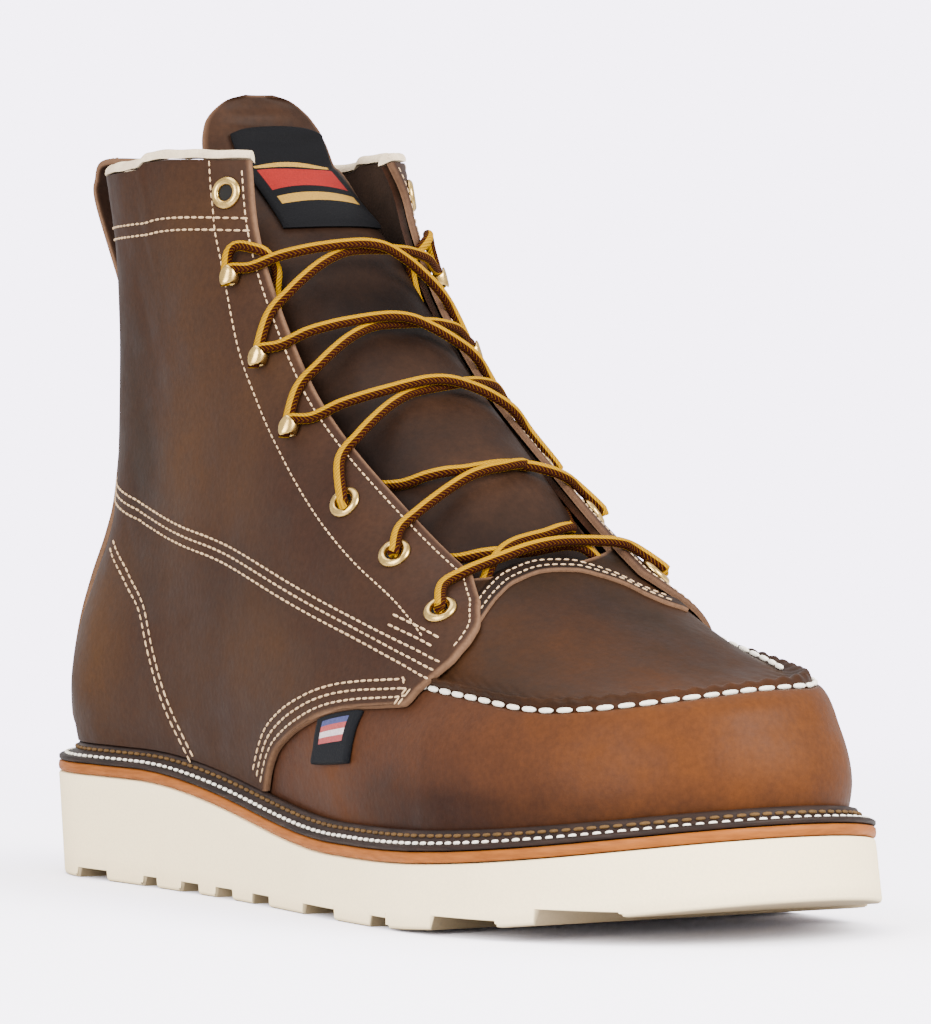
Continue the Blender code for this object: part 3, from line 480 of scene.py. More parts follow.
    def share_at_gap(self, level: Array, side: Side, gap: Array) -> Array:
        """Share of each ring from the front to where it is the gap away from the last's axis."""
        return self.share_where(level, side, lambda p: np.abs(p[..., 1] - WEDGE.axis(p[..., 0])), gap)

    def length(self, level: Array, side: Side) -> Array:
        """Length of one side of the rings at some levels.

        Args:
            level: Levels, counted in rings.
            side: Side of the boot.

        Returns:
            Lengths.
        """
        level = np.atleast_1d(np.asarray(level, float))
        points = self.point(level[:, None], side * np.linspace(TINY, 1.0, 120)[None, :])
        return np.linalg.norm(np.diff(points, axis=1), axis=2).sum(axis=1)

    def level_at_rise(self, side: Side, shares: Array, rise: float) -> Array:
        """Levels at which the last stands a given height above the midsole.

        Args:
            side: Side of the boot.
            shares: Shares of the side, from the front to the back.
            rise: Height above the midsole.

        Returns:
            Levels.
        """
        levels = np.linspace(0.0, 1.5, 61)
        points = self.point(levels[None, :], side * np.clip(shares, TINY, 1.0)[:, None])
        heights = points[..., 2] - WEDGE.top(points[..., 0])
        return np.array([np.interp(rise, row, levels) for row in heights])

    def throat_gap(self, level: Array, side: Side) -> Array:
        """Distance from the last's axis to one eyestay's edge."""
        gaps = [stop.lateral if side is Side.LATERAL else stop.medial for stop in THROAT_GAPS]
        return smooth_through([stop.level for stop in THROAT_GAPS], gaps, level)

    def quarter_front(self, level: Array, side: Side) -> Array:
        """Share of each ring from the front to the quarter panel's front edge.

        Args:
            level: Levels, counted in rings.
            side: Side of the boot.

        Returns:
            Shares.
        """
        level = np.atleast_1d(np.asarray(level, float))
        stop = QUARTER_EDGE[-1].level
        levels = [entry.level for entry in QUARTER_EDGE]
        below = np.minimum(level, stop)
        x = smooth_through(levels, [entry.x for entry in QUARTER_EDGE], below)
        low = self.share_at_x(below, side, x)
        above = np.maximum(level, self.throat_level)
        high = self.share_at_gap(above, side, self.throat_gap(above, side))
        t = np.clip((level - stop) / (self.throat_level - stop), 0.0, 1.0)
        return low + (high - low) * t

    def stay_place(self, level: float, side: Side, inset: float) -> float:
        """Place around of a point behind the eyestay's front edge."""
        return float(side * (self.quarter_front(level, side)[0] + inset / self.length(level, side)[0]))

    def loop(self, rise: float, offset: float, count: int) -> Array:
        """Closed loop round the last at a height above the midsole.

        Args:
            rise: Height above the midsole.
            offset: Distance outside the surface.
            count: Number of points on each side.

        Returns:
            Points from the front over the lateral side to the back and over the medial side.
        """
        shares = np.linspace(0.0, 1.0, count + 1)
        sides = []
        for side in Side:
            level = self.level_at_rise(side, shares, rise)
            sides.append(self.skin(level, side * np.clip(shares, TINY, 1.0 - TINY), offset))
        return np.vstack((sides[0], sides[1][-2:0:-1]))


LAST = Last()


# Soft relief and colour patches, listed in the boot's own sizes


class Fold(NamedTuple):
    """Soft trough or ridge in the leather: where it is, which way it runs and how big it is."""

    x: float
    y: float
    z: float
    run: Triple
    length: float
    width: float
    depth: float


class Patch(NamedTuple):
    """Soft patch of another tone: mostly the leather's own uneven tone, but the dark patches low on the vamp
    are painted shade.
    """

    x: float
    y: float
    z: float
    reach: float
    high: float
    warm: float
    dark: float


FOLDS = tuple(Fold(*row) for row in (
    (150, -40, 62, (0.9, 0.0, -0.35), 30, 9, -0.7), (166, -42, 52, (0.9, 0.0, -0.2), 26, 7, 0.5),
    (112, -36, 84, (0.7, 0.0, -0.7), 34, 10, -0.8), (98, -36, 98, (0.8, 0.0, -0.6), 30, 8, 0.5),
    (60, -34, 120, (0.3, 0.0, 0.95), 36, 14, -0.6), (84, -34, 150, (0.2, 0.0, 1.0), 40, 12, 0.5),
    (46, -36, 70, (0.4, 0.0, 0.9), 30, 12, 0.5), (30, -30, 100, (0.2, 0.0, 1.0), 40, 10, -0.5),
    (150, 40, 64, (0.9, 0.0, -0.35), 30, 9, -0.7), (166, 42, 54, (0.9, 0.0, -0.2), 26, 7, 0.5),
    (112, 36, 88, (0.7, 0.0, -0.7), 34, 10, -0.8), (96, 36, 104, (0.8, 0.0, -0.6), 30, 8, 0.5),
    (62, 34, 124, (0.3, 0.0, 0.95), 36, 14, -0.6), (84, 34, 152, (0.2, 0.0, 1.0), 40, 12, 0.5),
    (238, -20, 66, (0.3, 0.95, 0.0), 26, 8, -0.6), (226, 8, 72, (0.2, 0.98, 0.0), 30, 7, -0.5),
    (246, 18, 66, (0.4, 0.9, 0.0), 24, 8, 0.4), (232, -40, 42, (0.95, -0.2, 0.2), 34, 8, -0.5),
    (262, -30, 46, (0.9, 0.4, 0.0), 24, 9, 0.4), (200, -46, 44, (0.9, 0.0, 0.4), 24, 9, -0.5),
))
PATCHES = tuple(Patch(*row) for row in (
    (45, -35, 66, 15, 24, 0.75, 0.0), (86, -36, 118, 16, 30, 0.70, 0.0),
    (60, -34, 110, 16, 14, 0.0, 0.8), (48, -34, 132, 14, 22, 0.0, 0.65),
    (66, -38, 84, 24, 10, 0.0, 0.45), (124, -38, 76, 26, 18, 0.0, 0.35),
    (74, -34, 160, 24, 14, 0.3, 0.2), (116, -34, 100, 14, 12, 0.35, 0.0),
    (150, -42, 46, 22, 14, 0.15, 0.3), (98, -38, 56, 20, 14, 0.2, 0.15),
    (276, -28, 48, 34, 20, 0.85, 0.0), (292, 4, 46, 34, 20, 0.8, 0.0),
    # Dark patches low on the vamp, in these rows and below, are painted shade: the vamp gets darker towards
    # the bottom.
    (232, -48, 46, 26, 12, 0.25, 0.0), (206, -49, 32, 26, 10, 0.0, 0.5),
    (244, -48, 28, 40, 8, 0.0, 0.5), (180, -46, 36, 16, 16, 0.45, 0.1),
    (246, -16, 66, 18, 8, 0.5, 0.0), (226, -4, 74, 18, 12, 0.0, 0.4),
    (252, 22, 64, 20, 10, 0.25, 0.25), (264, -10, 60, 16, 8, 0.3, 0.0),
    (52, 36, 70, 18, 24, 0.6, 0.0), (88, 36, 122, 18, 28, 0.6, 0.0),
    (62, 35, 106, 16, 16, 0.0, 0.6), (126, 40, 80, 26, 18, 0.0, 0.4),
    # Painted shade: dark patches along the vamp's lower edge.
    (286, -20, 22, 30, 12, 0.0, 0.8), (216, -50, 26, 30, 10, 0.0, 0.6),
    (265, -40, 23, 30, 12, 0.0, 0.8), (298, 10, 24, 24, 12, 0.0, 0.7),
    (120, -36, 130, 16, 20, 0.5, 0.0), (136, -40, 62, 20, 12, 0.45, 0.0),
    (84, -34, 176, 22, 12, 0.6, 0.0), (30, -30, 64, 18, 20, 0.5, 0.0),
    (230, 48, 44, 30, 14, 0.4, 0.1), (270, 40, 46, 24, 16, 0.6, 0.0),
    (14, 0, 70, 18, 24, 0.45, 0.0), (18, 0, 120, 18, 26, 0.2, 0.4),
    (150, 0, 128, 14, 12, 0.5, 0.0), (128, -6, 152, 14, 12, 0.0, 0.5),
    (176, 0, 108, 14, 12, 0.5, 0.0), (70, 0, 202, 34, 10, 0.5, 0.0),
))


def relief(points: Array) -> Array:
    """Height of the leather's folds and soft waves at points of the last.

    Args:
        points: Points in millimetres.

    Returns:
        Heights.
    """
    height = np.zeros(points.shape[:-1])
    for fold in FOLDS:
        run = np.asarray(fold.run) / np.linalg.norm(fold.run)
        away = points - np.array((fold.x, fold.y, fold.z))
        along = away @ run
        across = np.linalg.norm(away - along[..., None] * run, axis=-1)
        height = height + fold.depth * bump(along, fold.length / 1.6) * bump(across, fold.width)
    x, y, z = np.moveaxis(points, -1, 0)
    waves = np.sin(x / 11.0 + 1.3 * np.sin(z / 17.0)) * np.sin(z / 13.0 + y / 19.0)
    return height + 0.16 * waves


def tones(points: Array) -> tuple[Array, Array]:
    """Strengths of the warm and dark patches at points.

    Args:
        points: Points in millimetres.

    Returns:
        Warm and dark strengths.
    """
    warm = np.zeros(points.shape[:-1])
    dark = np.zeros(points.shape[:-1])
    for patch in PATCHES:
        away = (points - np.array((patch.x, patch.y, patch.z))) / (patch.reach, patch.reach, patch.high)
        strength = np.exp(-np.square(away).sum(axis=-1))
        warm = warm + patch.warm * strength
        dark = dark + patch.dark * strength
    return np.clip(warm, 0.0, 1.0), np.clip(dark, 0.0, 1.0)


# Meshes


def to_row(points: Array) -> Array:
    """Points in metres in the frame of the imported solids."""
    return (np.asarray(points, float) + ROW_SHIFT) * MM


def smooth_mesh(mesh: Mesh, angle: float = 50.0) -> None:
    """Face a closed mesh outwards and shade it smooth up to an angle.

    Args:
        mesh: Mesh to work on.
        angle: Angle up to which neighbouring faces are shaded as one.
    """
    shape = bmesh.new()
    shape.from_mesh(mesh)
    bmesh.ops.recalc_face_normals(shape, faces=shape.faces[:])
    shape.to_mesh(mesh)
    shape.free()
    mesh.shade_smooth()
    mesh.set_sharp_from_angle(angle=math.radians(angle))


def new_piece(name: str, mesh: Mesh,
              finishes: Sequence[Material] = ()) -> Object:
    """Object for a mesh with its finishes.

    Args:
        name: Name of the piece.
        mesh: Mesh to work on.
        finishes: Materials in the order of the faces' groups.

    Returns:
        The new object.
    """
    for finish in finishes:
        mesh.materials.append(finish)
    piece = bpy.data.objects.new(name, mesh)
    bpy.context.collection.objects.link(piece)
    return piece


def ring_quads(layers: int, count: int, first: int = 0, closed: bool = False) -> list[tuple[int, ...]]:
    """Quads between closed loops of points.

    Args:
        layers: Number of loops.
        count: Number of points of a loop.
        first: Index of the first point.
        closed: Whether the last loop joins the first.

    Returns:
        Corners of the quads.
    """
    quads = []
    for layer in range(layers if closed else layers - 1):
        low, high = first + layer * count, first + (layer + 1) % layers * count
        quads += [(low + i, low + (i + 1) % count, high + (i + 1) % count, high + i) for i in range(count)]
    return quads


def end_caps(layers: int, count: int, first: int = 0) -> list[tuple[int, ...]]:
    """Faces over the first and the last of a row of loops."""
    last = first + (layers - 1) * count
    return [tuple(range(first, first + count)), tuple(range(last, last + count))]


class Solid:
    """Points, faces and stored values that become one closed mesh."""

    def __init__(self, name: str) -> None:
        """Start an empty solid.

        Args:
            name: Name of the piece.
        """
        self.name = name
        self.points: list[Array] = []
        self.faces: list[Sequence[int]] = []
        self.groups: list[int] = []
        self.values: dict[str, list[Array]] = {}
        self.count = 0

    def add_points(self, points: Array, **values: Array) -> int:
        """Add points in millimetres with values stored on them.

        Args:
            points: Points, in any grid shape with x, y and z last.
            values: Stored values, in the grid's shape or one number.

        Returns:
            Index of the first point.
        """
        flat = np.asarray(points, float).reshape(-1, 3)
        first = self.count
        for name in set(self.values) | set(values):
            rows = self.values.setdefault(name, [np.zeros(first)] if first else [])
            value = np.broadcast_to(np.asarray(values.get(name, 0.0), float), points.shape[:-1])
            rows.append(value.reshape(-1))
        self.points.append(flat)
        self.count += len(flat)
        return first

    def add_faces(self, faces: Sequence[Sequence[int]], group: int = 0) -> None:
        """Add faces of one finish."""
        self.faces.extend(faces)
        self.groups.extend([group] * len(faces))

    def add_shell(self, outer: Array, inner: Array, keep: Optional[Array] = None, wrap: bool = False,
                  inside: int = 0, inner_values: Optional[dict] = None, **values: Array) -> None:
        """Add a wall between two grids of points.

        Args:
            outer: Grid of the outer face.
            inner: Grid of the inner face.
            keep: Cells to keep, all of them where it is left out.
            wrap: Whether the last column joins the first.
            inside: Finish of the inner face.
            inner_values: Values stored on the inner face, those of the outer face where left out.
            values: Values stored on the outer face.
        """
        rows, columns = outer.shape[:2]
        across = columns if wrap else columns - 1
        keep = np.ones((rows - 1, across), bool) if keep is None else keep
        first = self.add_points(outer, **values)
        back = self.add_points(inner, **(values if inner_values is None else inner_values))
        r, c = np.nonzero(keep)
        d = (c + 1) % columns
        here, above = r * columns, (r + 1) * columns
        quads = np.column_stack((here + c, here + d, above + d, above + c))
        self.add_faces((quads + first).tolist())
        self.add_faces((quads[:, ::-1] + back).tolist(), inside)
        edges: dict[tuple[int, int], int] = {}
        for quad in quads.tolist():
            for here, there in zip(quad, quad[1:] + quad[:1]):
                if edges.pop((there, here), None) is None:
                    edges[(here, there)] = 1
        self.add_faces([(first + b, first + a, back + a, back + b) for a, b in edges])

    def add_stack(self, loops: Sequence[Array], **values: Array) -> None:
        """Add a solid through a stack of closed loops, closed by strips across the boot.

        Args:
            loops: Closed loops from the bottom up, front first.
            values: Values stored on the loops.
        """
        grid = np.array(loops)
        first = self.add_points(grid, **values)
        layers, count = grid.shape[:2]
        self.add_faces(ring_quads(layers, count, first))
        for base in (first, first + (layers - 1) * count):
            for i in range(count // 2):
                strip = (base + i, base + i + 1, base + count - i - 1, base + (count - i) % count)
                self.add_faces([tuple(dict.fromkeys(strip))])

    def add_band(self, loops: Sequence[Array]) -> None:
        """Add a closed band whose section is the chain of loops."""
        grid = np.array(loops)
        self.add_faces(ring_quads(*grid.shape[:2], self.add_points(grid), True))

    def add_tube(self, rows: Array) -> None:
        """Add a tube through rows of points round its section, closed at both ends."""
        first = self.add_points(rows)
        self.add_faces(ring_quads(*rows.shape[:2], first) + end_caps(*rows.shape[:2], first))

    def make(self, finishes: Sequence[Material], angle: float = 50.0) -> Object:
        """Make the object.

        Args:
            finishes: Finishes in the order of the faces' groups.
            angle: Angle up to which neighbouring faces are shaded as one.

        Returns:
            The new object.
        """
        points = np.vstack(self.points)
        used = np.zeros(len(points), bool)
        for face in self.faces:
            used[list(face)] = True
        number = np.cumsum(used) - 1
        faces = [tuple(int(number[i]) for i in face) for face in self.faces]
        mesh = bpy.data.meshes.new(self.name)
        mesh.from_pydata(to_row(points[used]).tolist(), [], faces)
        mesh.polygons.foreach_set("material_index", self.groups)
        for name, rows in self.values.items():
            store = mesh.attributes.new(name, "FLOAT", "POINT")
            store.data.foreach_set("value", np.concatenate(rows)[used])
        smooth_mesh(mesh, angle)
        return new_piece(self.name, mesh, finishes)


def settle(piece: Object, slot: Slot, nodes: Sequence[str] = ()) -> Object:
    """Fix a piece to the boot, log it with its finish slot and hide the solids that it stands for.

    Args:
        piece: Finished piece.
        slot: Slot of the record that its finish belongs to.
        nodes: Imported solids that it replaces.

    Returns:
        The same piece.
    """
    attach(piece, "root")
    if nodes:
        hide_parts(*nodes)
    LOG.info("%s: %d faces, %s", piece.name, len(piece.data.polygons), slot.value)
    return piece


# Finishes


class Graph:
    """Short way to add and join the nodes of a tree."""

    def __init__(self, tree: Tree) -> None:
        """Work on a tree."""
        self.tree = tree

    def put(self, target: Socket, value: object) -> None:
        """Join a socket to an input, or set the input's own value.

        Args:
            target: Input to fill.
            value: Socket or plain value.
        """
        if isinstance(value, Socket):
            self.tree.links.new(value, target)
        elif isinstance(value, tuple) and len(value) == 3 and target.type == "RGBA":
            target.default_value = (*value, 1.0)
        else:
            target.default_value = value

    def node(self, kind: str, inputs: Optional[dict] = None, **settings: object) -> bpy.types.Node:
        """New node with its inputs and settings.

        Args:
            kind: Type of the node.
            inputs: Values or sockets by input.
            settings: Properties of the node.

        Returns:
            The new node.
        """
        node = self.tree.nodes.new(kind)
        for name, value in settings.items():
            setattr(node, name, value)
        for name, value in (inputs or {}).items():
            self.put(node.inputs[name], value)
        return node

    def math(self, operation: str, first: object, second: object = 0.0, clamp: bool = False) -> Socket:
        """Result of a sum of two values."""
        inputs = {0: first, 1: second}
        return self.node("ShaderNodeMath", inputs, operation=operation, use_clamp=clamp).outputs[0]

    def times(self, first: object, second: object, clamp: bool = False) -> Socket:
        """Product of two values."""
        return self.math("MULTIPLY", first, second, clamp)

    def mix(self, share: object, first: object, second: object, blend: str = "MIX") -> Socket:
        """Blend of two colours."""
        inputs = {0: share, 6: first, 7: second}
        return self.node("ShaderNodeMix", inputs, data_type="RGBA", blend_type=blend).outputs[2]

    def remap(self, *values: object) -> Socket:
        """Value moved from one range to another, or to the one from 0 to 1."""
        return self.node("ShaderNodeMapRange", dict(enumerate(values)), clamp=True).outputs[0]

    def noise(self, where: Socket, scale: object, detail: float = 3.0, rough: float = 0.5) -> Socket:
        """Cloudy noise from 0 to 1."""
        inputs = {"Vector": where, "Scale": scale, "Detail": detail, "Roughness": rough}
        return self.node("ShaderNodeTexNoise", inputs).outputs[0]

    def cells(self, where: Socket, scale: object) -> Socket:
        """Distance to the nearest cell centre."""
        inputs = {"Vector": where, "Scale": scale}
        return self.node("ShaderNodeTexVoronoi", inputs, feature="SMOOTH_F1").outputs["Distance"]

    def stored(self, name: str) -> Socket:
        """Value stored on the mesh."""
        return self.node("ShaderNodeAttribute", attribute_name=name).outputs["Fac"]

    def place(self) -> Socket:
        """Place on the object, in metres."""
        return self.node("ShaderNodeTexCoord").outputs["Object"]

    def speckled(self, tone: object, share: Socket, dark: Colour, light: Colour) -> Socket:
        """Colour with fine specks, darker and lighter by a share."""
        return self.mix(1.0, tone, self.mix(share, dark, light), "MULTIPLY")

    def group(self, tree: Tree, **values: object) -> Sockets:
        """Place a shared effect with its values."""
        inputs = {name.capitalize(): value for name, value in values.items()}
        return self.node("ShaderNodeGroup", inputs, node_tree=tree).outputs

    def dress(self, colour: object, rough: object, specular: float = 0.5, height: Optional[Socket] = None,
              strength: float = 0.0, distance: float = 0.0004) -> None:
        """Lead a finish into the material's shader.

        Args:
            colour: Base colour.
            rough: Roughness.
            specular: Strength of the sheen.
            height: Relief to follow.
            strength: Strength of the relief.
            distance: Height of the relief in metres.
        """
        shader = self.tree.nodes["Principled BSDF"].inputs
        self.put(shader["Base Color"], colour)
        self.put(shader["Roughness"], rough)
        self.put(shader["Specular IOR Level"], specular)
        if height is not None:
            inputs = {"Strength": strength, "Distance": distance, "Height": height}
            self.put(shader["Normal"], self.node("ShaderNodeBump", inputs).outputs["Normal"])


class Effect:
    """Shared effect: a node group with named inputs and outputs."""

    kinds = {float: "NodeSocketFloat", tuple: "NodeSocketColor"}

    def __init__(self, name: str, takes: dict[str, object], gives: dict[str, type]) -> None:
        """Make an empty group.

        Args:
            name: Name of the effect.
            takes: Inputs and their first values.
            gives: Outputs and their kinds.
        """
        self.tree = bpy.data.node_groups.new(name, "ShaderNodeTree")
        add = self.tree.interface.new_socket
        for label, value in takes.items():
            socket = add(label, in_out="INPUT", socket_type=self.kinds[type(value)])
            socket.default_value = (*value, 1.0) if isinstance(value, tuple) else value
        for label, kind in gives.items():
            add(label, in_out="OUTPUT", socket_type=self.kinds[kind])
        self.graph = Graph(self.tree)
        self.takes = self.graph.node("NodeGroupInput").outputs
        self.gives = self.graph.node("NodeGroupOutput").inputs


def grain_effect() -> Tree:
    """Pebbled leather grain with fine pores, as a height.

    Returns:
        The effect's tree.
    """
    effect = Effect("leather_grain", {"Pebble": 620.0, "Pore": 1900.0, "Wrinkle": 0.35}, {"Height": float})
    graph, takes = effect.graph, effect.takes
    where = graph.place()
    wander = graph.times(graph.noise(where, 160.0), takes["Wrinkle"])
    pebbles = graph.cells(where, takes["Pebble"])
    pores = graph.times(graph.noise(where, takes["Pore"], 2.0), 0.35)
    body = graph.math("ADD", graph.times(pebbles, 0.6), pores)
    graph.put(effect.gives["Height"], graph.math("ADD", body, wander))
    return effect.tree


def mottle_effect() -> Tree:
    """Uneven tone of oiled leather: clouds, rubbed spots, fine speckle and the stored warm and dark patches,
    the dark ones low on the vamp being painted shade.

    Returns:
        The effect's tree.
    """
    effect = Effect("oiled_mottle", {
        "Base": (0.1, 0.1, 0.1), "Shade": (0.0, 0.0, 0.0), "Glow": (0.5, 0.5, 0.5), "Warm": 0.0, "Dark": 0.0,
        "Cloud": 0.5}, {"Color": tuple, "Cloudy": float})
    graph, takes = effect.graph, effect.takes
    where = graph.place()
    clouds = graph.remap(graph.noise(where, 26.0, 4.0, 0.55), 0.36, 0.66)
    spots = graph.noise(where, 95.0, 5.0, 0.6)
    fine = graph.noise(where, 700.0, 3.0, 0.6)
    glow = graph.math("ADD", takes["Warm"], graph.times(clouds, 0.25))
    lift = graph.times(glow, graph.remap(spots, 0.25, 0.75, 0.55, 1.15), True)
    sunk = graph.times(graph.remap(spots, 0.62, 0.36), takes["Cloud"])
    sink = graph.math("ADD", takes["Dark"], sunk, True)
    tone = graph.mix(lift, graph.mix(sink, takes["Base"], takes["Shade"]), takes["Glow"])
    tone = graph.speckled(tone, graph.remap(fine, 0.3, 0.7), (0.86, 0.86, 0.87), (1.13, 1.12, 1.1))
    graph.put(effect.gives["Color"], tone)
    graph.put(effect.gives["Cloudy"], spots)
    return effect.tree


def wear_effect() -> Tree:
    """Raw cut edges and painted shade in the folds, from values stored on the mesh.

    Returns:
        The effect's tree.
    """
    effect = Effect("edge_and_fold", {"Color": (0.1, 0.1, 0.1), "Raw": (0.5, 0.4, 0.3), "Depth": 0.5},
                    {"Color": tuple, "Raw edge": float})
    graph, takes = effect.graph, effect.takes
    ragged = graph.noise(graph.place(), 900.0, 4.0, 0.6)
    edge = graph.times(graph.stored("edge"), graph.remap(ragged, 0.2, 0.6, 0.6, 1.1), True)
    # The stored fold value is painted shade: it darkens creases, the moc groove and where pieces tuck under.
    fold = graph.times(graph.stored("fold"), takes["Depth"], True)
    shaded = graph.mix(1.0, takes["Color"], (0.22, 0.2, 0.2), "MULTIPLY")
    graph.put(effect.gives["Color"], graph.mix(edge, graph.mix(fold, takes["Color"], shaded), takes["Raw"]))
    graph.put(effect.gives["Raw edge"], edge)
    return effect.tree


class Effects:
    """Shared effects, each made once."""

    def __init__(self) -> None:
        """Make every group."""
        self.grain = grain_effect()
        self.mottle = mottle_effect()
        self.wear = wear_effect()


@dataclass(frozen=True)
class Finish:
    """Look of a material."""

    name: str
    base: Colour

    def make(self, effects: Effects) -> Material:
        """New material with the finish.

        Args:
            effects: Shared effects.

        Returns:
            The material.
        """
        material = bpy.data.materials.new(self.name)
        material.use_nodes = True
        self.paint(Graph(material.node_tree), effects)
        return material

    def paint(self, graph: Graph, effects: Effects) -> None:
        """Paint a material's graph."""
        raise NotImplementedError


@dataclass(frozen=True)
class Leather(Finish):
    """Oiled full-grain leather."""

    shade: Colour
    glow: Colour
    cloud: float = 0.45
    rough: float = 0.46
    plug: Optional[Colour] = None
    raw: Colour = (0.13, 0.07, 0.04)
    grain: float = 0.22

    def paint(self, graph: Graph, effects: Effects) -> None:
        """Paint the leather.

        Args:
            graph: Graph of the material.
            effects: Shared effects.
        """
        base = self.base if self.plug is None else graph.mix(graph.stored("plug"), self.base, self.plug)
        tone = graph.group(effects.mottle, base=base, shade=self.shade, glow=self.glow, cloud=self.cloud,
                           warm=graph.stored("warm"), dark=graph.stored("dark"))
        # Depth sets how dark the painted fold shade gets.
        worn = graph.group(effects.wear, color=tone["Color"], raw=self.raw, depth=0.9)
        waxy = graph.remap(tone["Cloudy"], 0.3, 0.7, self.rough - 0.07, self.rough + 0.1)
        rough = graph.math("ADD", waxy, graph.times(worn["Raw edge"], 0.3))
        graph.dress(worn["Color"], rough, 0.07, graph.group(effects.grain)["Height"], self.grain)


@dataclass(frozen=True)
class Suede(Finish):
    """Napped or woven lining, rough and pale."""

    shade: Colour
    nap: float = 1300.0

    def paint(self, graph: Graph, effects: Effects) -> None:
        """Paint the nap.

        Args:
            graph: Graph of the material.
            effects: Shared effects, not used here.
        """
        where = graph.place()
        clouds = graph.noise(where, 120.0, 4.0, 0.6)
        fuzz = graph.noise(where, self.nap, 3.0, 0.7)
        tone = graph.mix(graph.remap(clouds, 0.35, 0.7), self.base, self.shade)
        tone = graph.speckled(tone, graph.remap(fuzz, 0.3, 0.7), (0.84, 0.84, 0.84), (1.1, 1.1, 1.1))
        graph.dress(tone, 0.92, 0.1, fuzz, 0.5)


@dataclass(frozen=True)
class Crepe(Finish):
    """Foamed rubber of the wedge: pale, faintly pitted, darker towards the tread and inside its grooves and
    faintly at its top rim.
    """

    shade: Colour

    def paint(self, graph: Graph, effects: Effects) -> None:
        """Paint the rubber.

        Args:
            graph: Graph of the material.
            effects: Shared effects, not used here.
        """
        where = graph.place()
        clouds = graph.noise(where, 30.0, 4.0, 0.55)
        pits = graph.cells(where, 850.0)
        fine = graph.noise(where, 1600.0, 3.0, 0.6)
        low = graph.math("ADD", graph.times(graph.stored("low"), 0.85),
                         graph.remap(clouds, 0.5, 0.8, 0.0, 0.08), True)
        tone = graph.speckled(graph.mix(low, self.base, self.shade), graph.remap(fine, 0.35, 0.7),
                              (0.95, 0.95, 0.95), (1.03, 1.03, 1.03))
        height = graph.math("ADD", graph.times(pits, 0.6), graph.times(fine, 0.5))
        graph.dress(tone, graph.remap(clouds, 0.3, 0.7, 0.6, 0.75), 0.5, height, 0.2)


@dataclass(frozen=True)
class EdgeDressing(Finish):
    """Dyed and waxed edge of the midsole or welt, with faint layers along it."""

    shade: Colour
    rough: float = 0.5

    def paint(self, graph: Graph, effects: Effects) -> None:
        """Paint the edge.

        Args:
            graph: Graph of the material.
            effects: Shared effects, not used here.
        """
        where = graph.place()
        stretch = graph.node("ShaderNodeMapping", {"Vector": where, "Scale": (1.0, 1.0, 9.0)})
        layers = graph.noise(stretch.outputs["Vector"], 130.0, 4.0, 0.6)
        fine = graph.noise(where, 1100.0, 3.0, 0.6)
        tone = graph.mix(graph.remap(layers, 0.35, 0.68), self.base, self.shade)
        rough = graph.remap(layers, 0.3, 0.7, self.rough - 0.06, self.rough + 0.08)
        graph.dress(tone, rough, 0.1, graph.math("ADD", layers, graph.times(fine, 0.6)), 0.2)


@dataclass(frozen=True)
class Thread(Finish):
    """Waxed sewing thread."""

    shade: Colour

    def paint(self, graph: Graph, effects: Effects) -> None:
        """Paint the thread.

        Args:
            graph: Graph of the material.
            effects: Shared effects, not used here.
        """
        where = graph.place()
        twist = graph.noise(where, 2600.0, 2.0, 0.6)
        patch = graph.noise(where, 240.0, 3.0, 0.6)
        tone = graph.mix(graph.remap(patch, 0.35, 0.75, 0.0, 0.8), self.base, self.shade)
        tone = graph.mix(graph.remap(twist, 0.45, 0.75, 0.0, 0.35), tone, self.shade)
        graph.dress(tone, graph.remap(twist, 0.3, 0.7, 0.55, 0.75), 0.15, twist, 0.5, 0.0003)


@dataclass(frozen=True)
class Brass(Finish):
    """Polished brass, slightly worn, darker and rougher in patches."""

    shade: Colour

    def paint(self, graph: Graph, effects: Effects) -> None:
        """Paint the brass.

        Args:
            graph: Graph of the material.
            effects: Shared effects, not used here.
        """
        wear = graph.noise(graph.place(), 420.0, 4.0, 0.6)
        tone = graph.mix(graph.remap(wear, 0.4, 0.72), self.base, self.shade)
        graph.dress(tone, graph.remap(wear, 0.3, 0.7, 0.16, 0.34), 0.5, wear, 0.06, 0.0003)
        graph.put(graph.tree.nodes["Principled BSDF"].inputs["Metallic"], 1.0)


@dataclass(frozen=True)
class Braid(Finish):
    """Round braided lace: a dark band along the middle of a bright cord."""

    shade: Colour
    band: Colour
    plait: float = 1.15
    middle: float = 0.36

    def paint(self, graph: Graph, effects: Effects) -> None:
        """Paint the lace, from its lengthwise map in millimetres and turns.

        Args:
            graph: Graph of the material.
            effects: Shared effects, not used here.
        """
        chart = graph.node("ShaderNodeUVMap", uv_map="braid").outputs["UV"]
        along, turn = graph.node("ShaderNodeSeparateXYZ", {0: chart}).outputs[:2]
        off = graph.math("ABSOLUTE", graph.math("SUBTRACT", turn, self.middle))
        leant = graph.math("ADD", along, graph.times(off, 9.0))
        phase = graph.math("FRACT", graph.math("DIVIDE", leant, self.plait))
        plait = graph.remap(graph.math("ABSOLUTE", graph.math("SUBTRACT", phase, 0.5)), 0.05, 0.45)
        # Darker in the low parts of the plait: painted shade in the braid's troughs.
        yarn = graph.mix(graph.remap(plait, 0.0, 0.5, 0.35, 1.0), self.shade, self.base)
        tick = graph.times(graph.math("LESS_THAN", phase, 0.22), 0.5)
        tone = graph.mix(graph.remap(off, 0.142, 0.122), yarn, graph.mix(tick, self.band, self.shade))
        graph.dress(tone, graph.remap(plait, 0.0, 1.0, 0.85, 0.66), 0.03, plait, 0.6, 0.0005)


